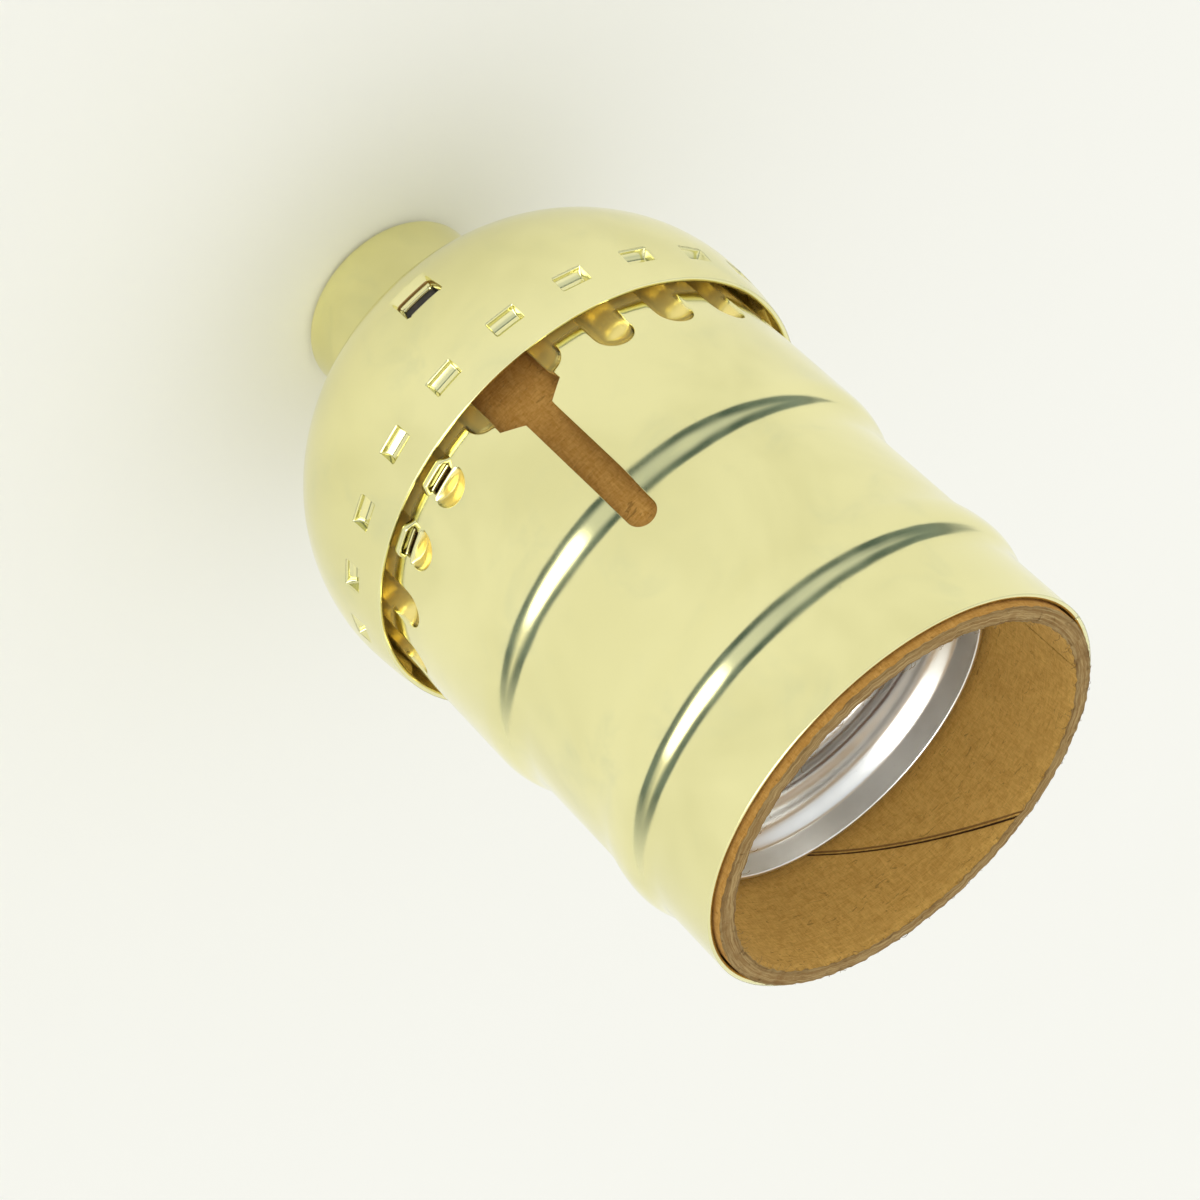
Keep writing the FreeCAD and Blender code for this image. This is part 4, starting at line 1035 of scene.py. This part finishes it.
def polished_brass(name, pressed=None):
    """Brass plate on drawn sheet: slightly wavy, faintly hazed in places, with tiny pits and rubs.

    Inside a radius and below a height in millimetres, where the sheet was pressed in, and under the cap's
    rim, it is duller and a warmer gold: that gold is painted bounce light."""
    look = Look(name, (0.83, 0.78, 0.41), 0.14, 1.0)
    haze = look.band(look.noise(9, 4, 0.6), 0.42, 0.7)
    cloud = look.band(look.noise(15, 3, 0.55, distortion=0.5), 0.33, 0.67)
    pits = look.specks(5.5, 0.09)
    rubs = look.band(look.noise(0.5, 2, 0.6, (1, 1, 9), distortion=0.6), 0.7, 0.78)
    tone = look.mix(cloud, (0.79, 0.75, 0.385), (0.89, 0.845, 0.455))
    # Painted reflection: soft grey-green patches over the brass tone stand in for the darker room mirrored in
    # the barrel.
    painted_reflection_patches = look.band(look.noise(6, 4, 0.6, distortion=0.5), 0.5, 0.76)
    tone = look.stain(tone, painted_reflection_patches, 0.3, (0.62, 0.64, 0.39))
    tone = look.stain(tone, rubs, 0.1, (0.72, 0.66, 0.36))
    tone = look.stain(tone, pits, 0.7, (0.25, 0.2, 0.09))
    rough = look.math("MULTIPLY_ADD", rubs, 0.08, look.blend(haze, 0.12, 0.2))
    rough = look.math("MULTIPLY_ADD", pits, 0.2, rough)
    if pressed:
        # Painted bounce light: in the flutes and under the cap's rim the brass turns a warmer, less metallic
        # gold.
        bounce_gold_share = look.painted_bounce_zone(*pressed)
        tone = look.mix(bounce_gold_share, tone, (0.97, 0.81, 0.29))
        rough = look.math("MULTIPLY_ADD", bounce_gold_share, 0.06, rough)
        look.metallic(look.blend(bounce_gold_share, 1.0, 0.62))
    look.colour(tone)
    look.roughness(rough)
    look.bump(look.noise(9, 2), 0.16)
    look.bump(look.noise(0.35, 3, 0.7, (1, 1, 3)), 0.0012)
    return look.material


def bare_brass(name, colour=(0.72, 0.56, 0.25), metallic=1.0):
    """Stamped or turned brass: duller than the plate, with fine tool lines."""
    look = Look(name, colour, 0.28, metallic)
    lines = look.noise(0.09, 2, 0.6, (30, 1, 1))
    cloud = look.noise(1.6, 4, 0.6)
    look.colour(look.mix(look.band(cloud, 0.35, 0.75), colour, shade(colour, 0.68)))
    look.roughness(look.blend(lines, 0.2, 0.38))
    look.bump(lines, 0.004)
    return look.material


def kraft(name, light, dark, fuzz, seam=False):
    """Wound fibre paper: short strands in every direction, dark flecks and a little nap."""
    look = Look(name, light, 0.9)
    place = look.round_place()
    strands = look.noise(0.28, 4, 0.65, (5, 1, 1), place, 1.6)
    crossed = look.noise(0.3, 4, 0.65, (1, 4, 1), place, 1.8)
    cloud = look.noise(5.5, 3, 0.55, place=place)
    flecks = look.band(look.noise(0.5, 3, 0.6, (3, 1, 1), place, 2.2), 0.6, 0.72)
    pale = look.band(look.noise(0.35, 3, 0.6, (1, 3, 1), place, 2.4), 0.63, 0.74)
    pulp = look.math("MULTIPLY", look.math("ADD", strands, crossed), 0.5)
    tone = look.mix(look.band(pulp, 0.32, 0.68), dark, light)
    tone = look.stain(tone, cloud, 0.35, shade(dark, 0.75))
    tone = look.stain(tone, flecks, 0.6, shade(dark, 0.35))
    tone = look.stain(tone, pale, 0.3, shade(light, 1.6))
    if seam:
        tone = look.mix(look.seam_line(0.0, 0.15), tone, (0.07, 0.03, 0.01))
        tone = look.stain(tone, look.seam_line(-0.34, 0.12), 0.75, (0.12, 0.055, 0.018))
    look.colour(tone)
    look.sheen(0.25)
    look.bump(pulp, 0.05 * fuzz)
    look.bump(look.noise(1.3, 3, 0.6, (3, 1, 1), place), 0.06 * fuzz)
    return look.material


def cut_fibre(name):
    """The sawn end of the fibre tube: pale, fuzzy, with the darker plies showing as rings."""
    look = Look(name, (0.56, 0.42, 0.21), 1.0)
    place = look.round_place()
    plies = look.noise(0.16, 3, 0.6, (26, 26, 1), place, 0.8)
    nap = look.noise(0.14, 4, 0.7)
    blot = look.band(look.noise(2.6, 3, 0.6, place=place), 0.52, 0.7)
    tone = look.mix(look.band(plies, 0.38, 0.66), (0.3, 0.18, 0.065), (0.5, 0.35, 0.15))
    tone = look.stain(tone, blot, 0.5, (0.26, 0.14, 0.045))
    look.colour(look.stain(tone, look.band(nap, 0.55, 0.75), 0.4, (0.68, 0.54, 0.3)))
    look.sheen(0.1)
    look.bump(nap, 0.12)
    return look.material


def rolled_aluminium(name):
    """Soft bright sheet with faint lines from rolling and fine sparkling grain."""
    look = Look(name, (0.9, 0.9, 0.87), 0.3, 1.0)
    place = look.round_place()
    lines = look.noise(0.1, 2, 0.6, (60, 1, 1), place)
    grain = look.noise(0.16, 3, 0.7)
    spots = look.specks(2.4, 0.07)
    tone = look.mix(look.band(look.noise(4, 3, 0.6), 0.35, 0.7), (0.92, 0.92, 0.89), (0.84, 0.84, 0.81))
    look.colour(look.stain(tone, spots, 0.5, (0.4, 0.38, 0.35)))
    look.roughness(look.blend(lines, 0.24, 0.38))
    look.bump(lines, 0.003)
    look.bump(grain, 0.003)
    return look.material


def moulded_phenolic(name):
    """Dark moulding compound with a dull skin and a faint brown mottle."""
    look = Look(name, (0.03, 0.024, 0.02), 0.38)
    mottle = look.noise(0.8, 4, 0.7)
    look.colour(look.mix(look.band(mottle, 0.45, 0.72), (0.022, 0.018, 0.016), (0.06, 0.042, 0.03)))
    look.roughness(look.blend(look.noise(2.5, 3), 0.3, 0.5))
    look.bump(look.noise(0.25, 3, 0.6), 0.006)
    return look.material


def plated_metal(name, colour, rough, grain):
    """Zinc or nickel plate over a cast or turned piece."""
    look = Look(name, colour, rough, 1.0)
    cloud = look.noise(1.8, 4, 0.65)
    look.colour(look.mix(look.band(cloud, 0.4, 0.75), colour, shade(colour, 0.72)))
    look.roughness(look.blend(cloud, rough * 0.75, rough * 1.3))
    look.bump(look.noise(grain, 3, 0.6), grain * 0.03)
    return look.material


def pressed_fibre(name):
    """Hard vulcanised fibre: reddish brown, slightly glossy, with a fine felted grain."""
    look = Look(name, (0.2, 0.06, 0.035), 0.55)
    grain = look.noise(0.3, 4, 0.65, (3, 1, 1))
    look.colour(look.mix(grain, (0.15, 0.042, 0.025), (0.27, 0.09, 0.055)))
    look.roughness(look.blend(look.noise(3, 3), 0.45, 0.65))
    look.bump(grain, 0.012)
    return look.material


brass = polished_brass("polished_brass")
# Outer shell brass with painted bounce light in its flutes and on the collar under the cap's rim.
shell_brass_painted_bounce = polished_brass("shell_brass_painted_bounce", (SHELL_RADIUS - 0.05, RIM_HEIGHT + SCOOP_REACH))
# Inner faces of the sheets: bare brass made a bright warm gold and half metallic, as painted bounce light in
# the gaps under the rims.
sheet_inside_painted_bounce = bare_brass("sheet_inside_painted_bounce", (0.97, 0.81, 0.29), 0.5)
strap_brass = bare_brass("strap_brass")
screw_brass = bare_brass("screw_brass", (0.76, 0.6, 0.28))
spring_bronze = bare_brass("spring_bronze", (0.74, 0.5, 0.27))
# The tube's inner face: the same kraft as its outside in brighter, more orange colours, as painted light
# standing in for the light that reaches inside the tube.
liner_inner_face_painted_fill = kraft("liner_inner_face_painted_fill", (0.8, 0.5, 0.135), (0.5, 0.285, 0.06), 1.0, seam=True)
liner_outside = kraft("liner_outside", (0.66, 0.37, 0.1), (0.42, 0.2, 0.034), 0.5)
liner_end = cut_fibre("liner_end")
cup_fibre = kraft("cup_fibre", (0.38, 0.23, 0.08), (0.24, 0.13, 0.036), 0.6)
aluminium = rolled_aluminium("rolled_aluminium")
phenolic = moulded_phenolic("moulded_phenolic")
insulator = pressed_fibre("pressed_fibre")
zinc = plated_metal("zinc_casting", (0.62, 0.63, 0.62), 0.36, 0.3)
steel = plated_metal("nickel_plate", (0.68, 0.66, 0.61), 0.2, 0.12)
node_looks = {"cap": brass, "cap_liner": cup_fibre, "neck_bushing": zinc, "neck_set_screw": steel,
              "core_base": phenolic, "inner_insulator": insulator, "centre_contact": spring_bronze,
              "hot_terminal": strap_brass, "hot_screw": screw_brass, "contact_rivet": screw_brass,
              "neutral_terminal": strap_brass, "neutral_screw": steel, "neutral_rivet": steel,
              "shell_rivet_front": steel, "shell_rivet_rear": steel, "screw_shell": aluminium,
              "outer_shell": brass, "shell_liner": liner_outside}
for name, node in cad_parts.items():
    node.data.materials.clear()
    node.data.materials.append(node_looks[name])

for piece, outside in ((add_cap(), brass), (add_outer_shell(), shell_brass_painted_bounce)):
    piece.data.materials.append(outside)
    piece.data.materials.append(sheet_inside_painted_bounce)
    for polygon, group in zip(piece.data.polygons, piece.data.attributes["group"].data):
        polygon.material_index = 1 if group.value == 1 else 0
for number, angle in enumerate(CATCH_ANGLES, start=1):
    catch_strip(angle, number).data.materials.append(brass)
add_screw_shell().data.materials.append(aluminium)
add_bushing_thread().data.materials.append(zinc)
liner = add_liner()
for look in (liner_outside, liner_inner_face_painted_fill, liner_end):
    liner.data.materials.append(look)
add_fuzz().data.materials.append(liner_end)

add_camera()
add_floor()
add_light()
bpy.context.scene.view_settings.view_transform = "Standard"
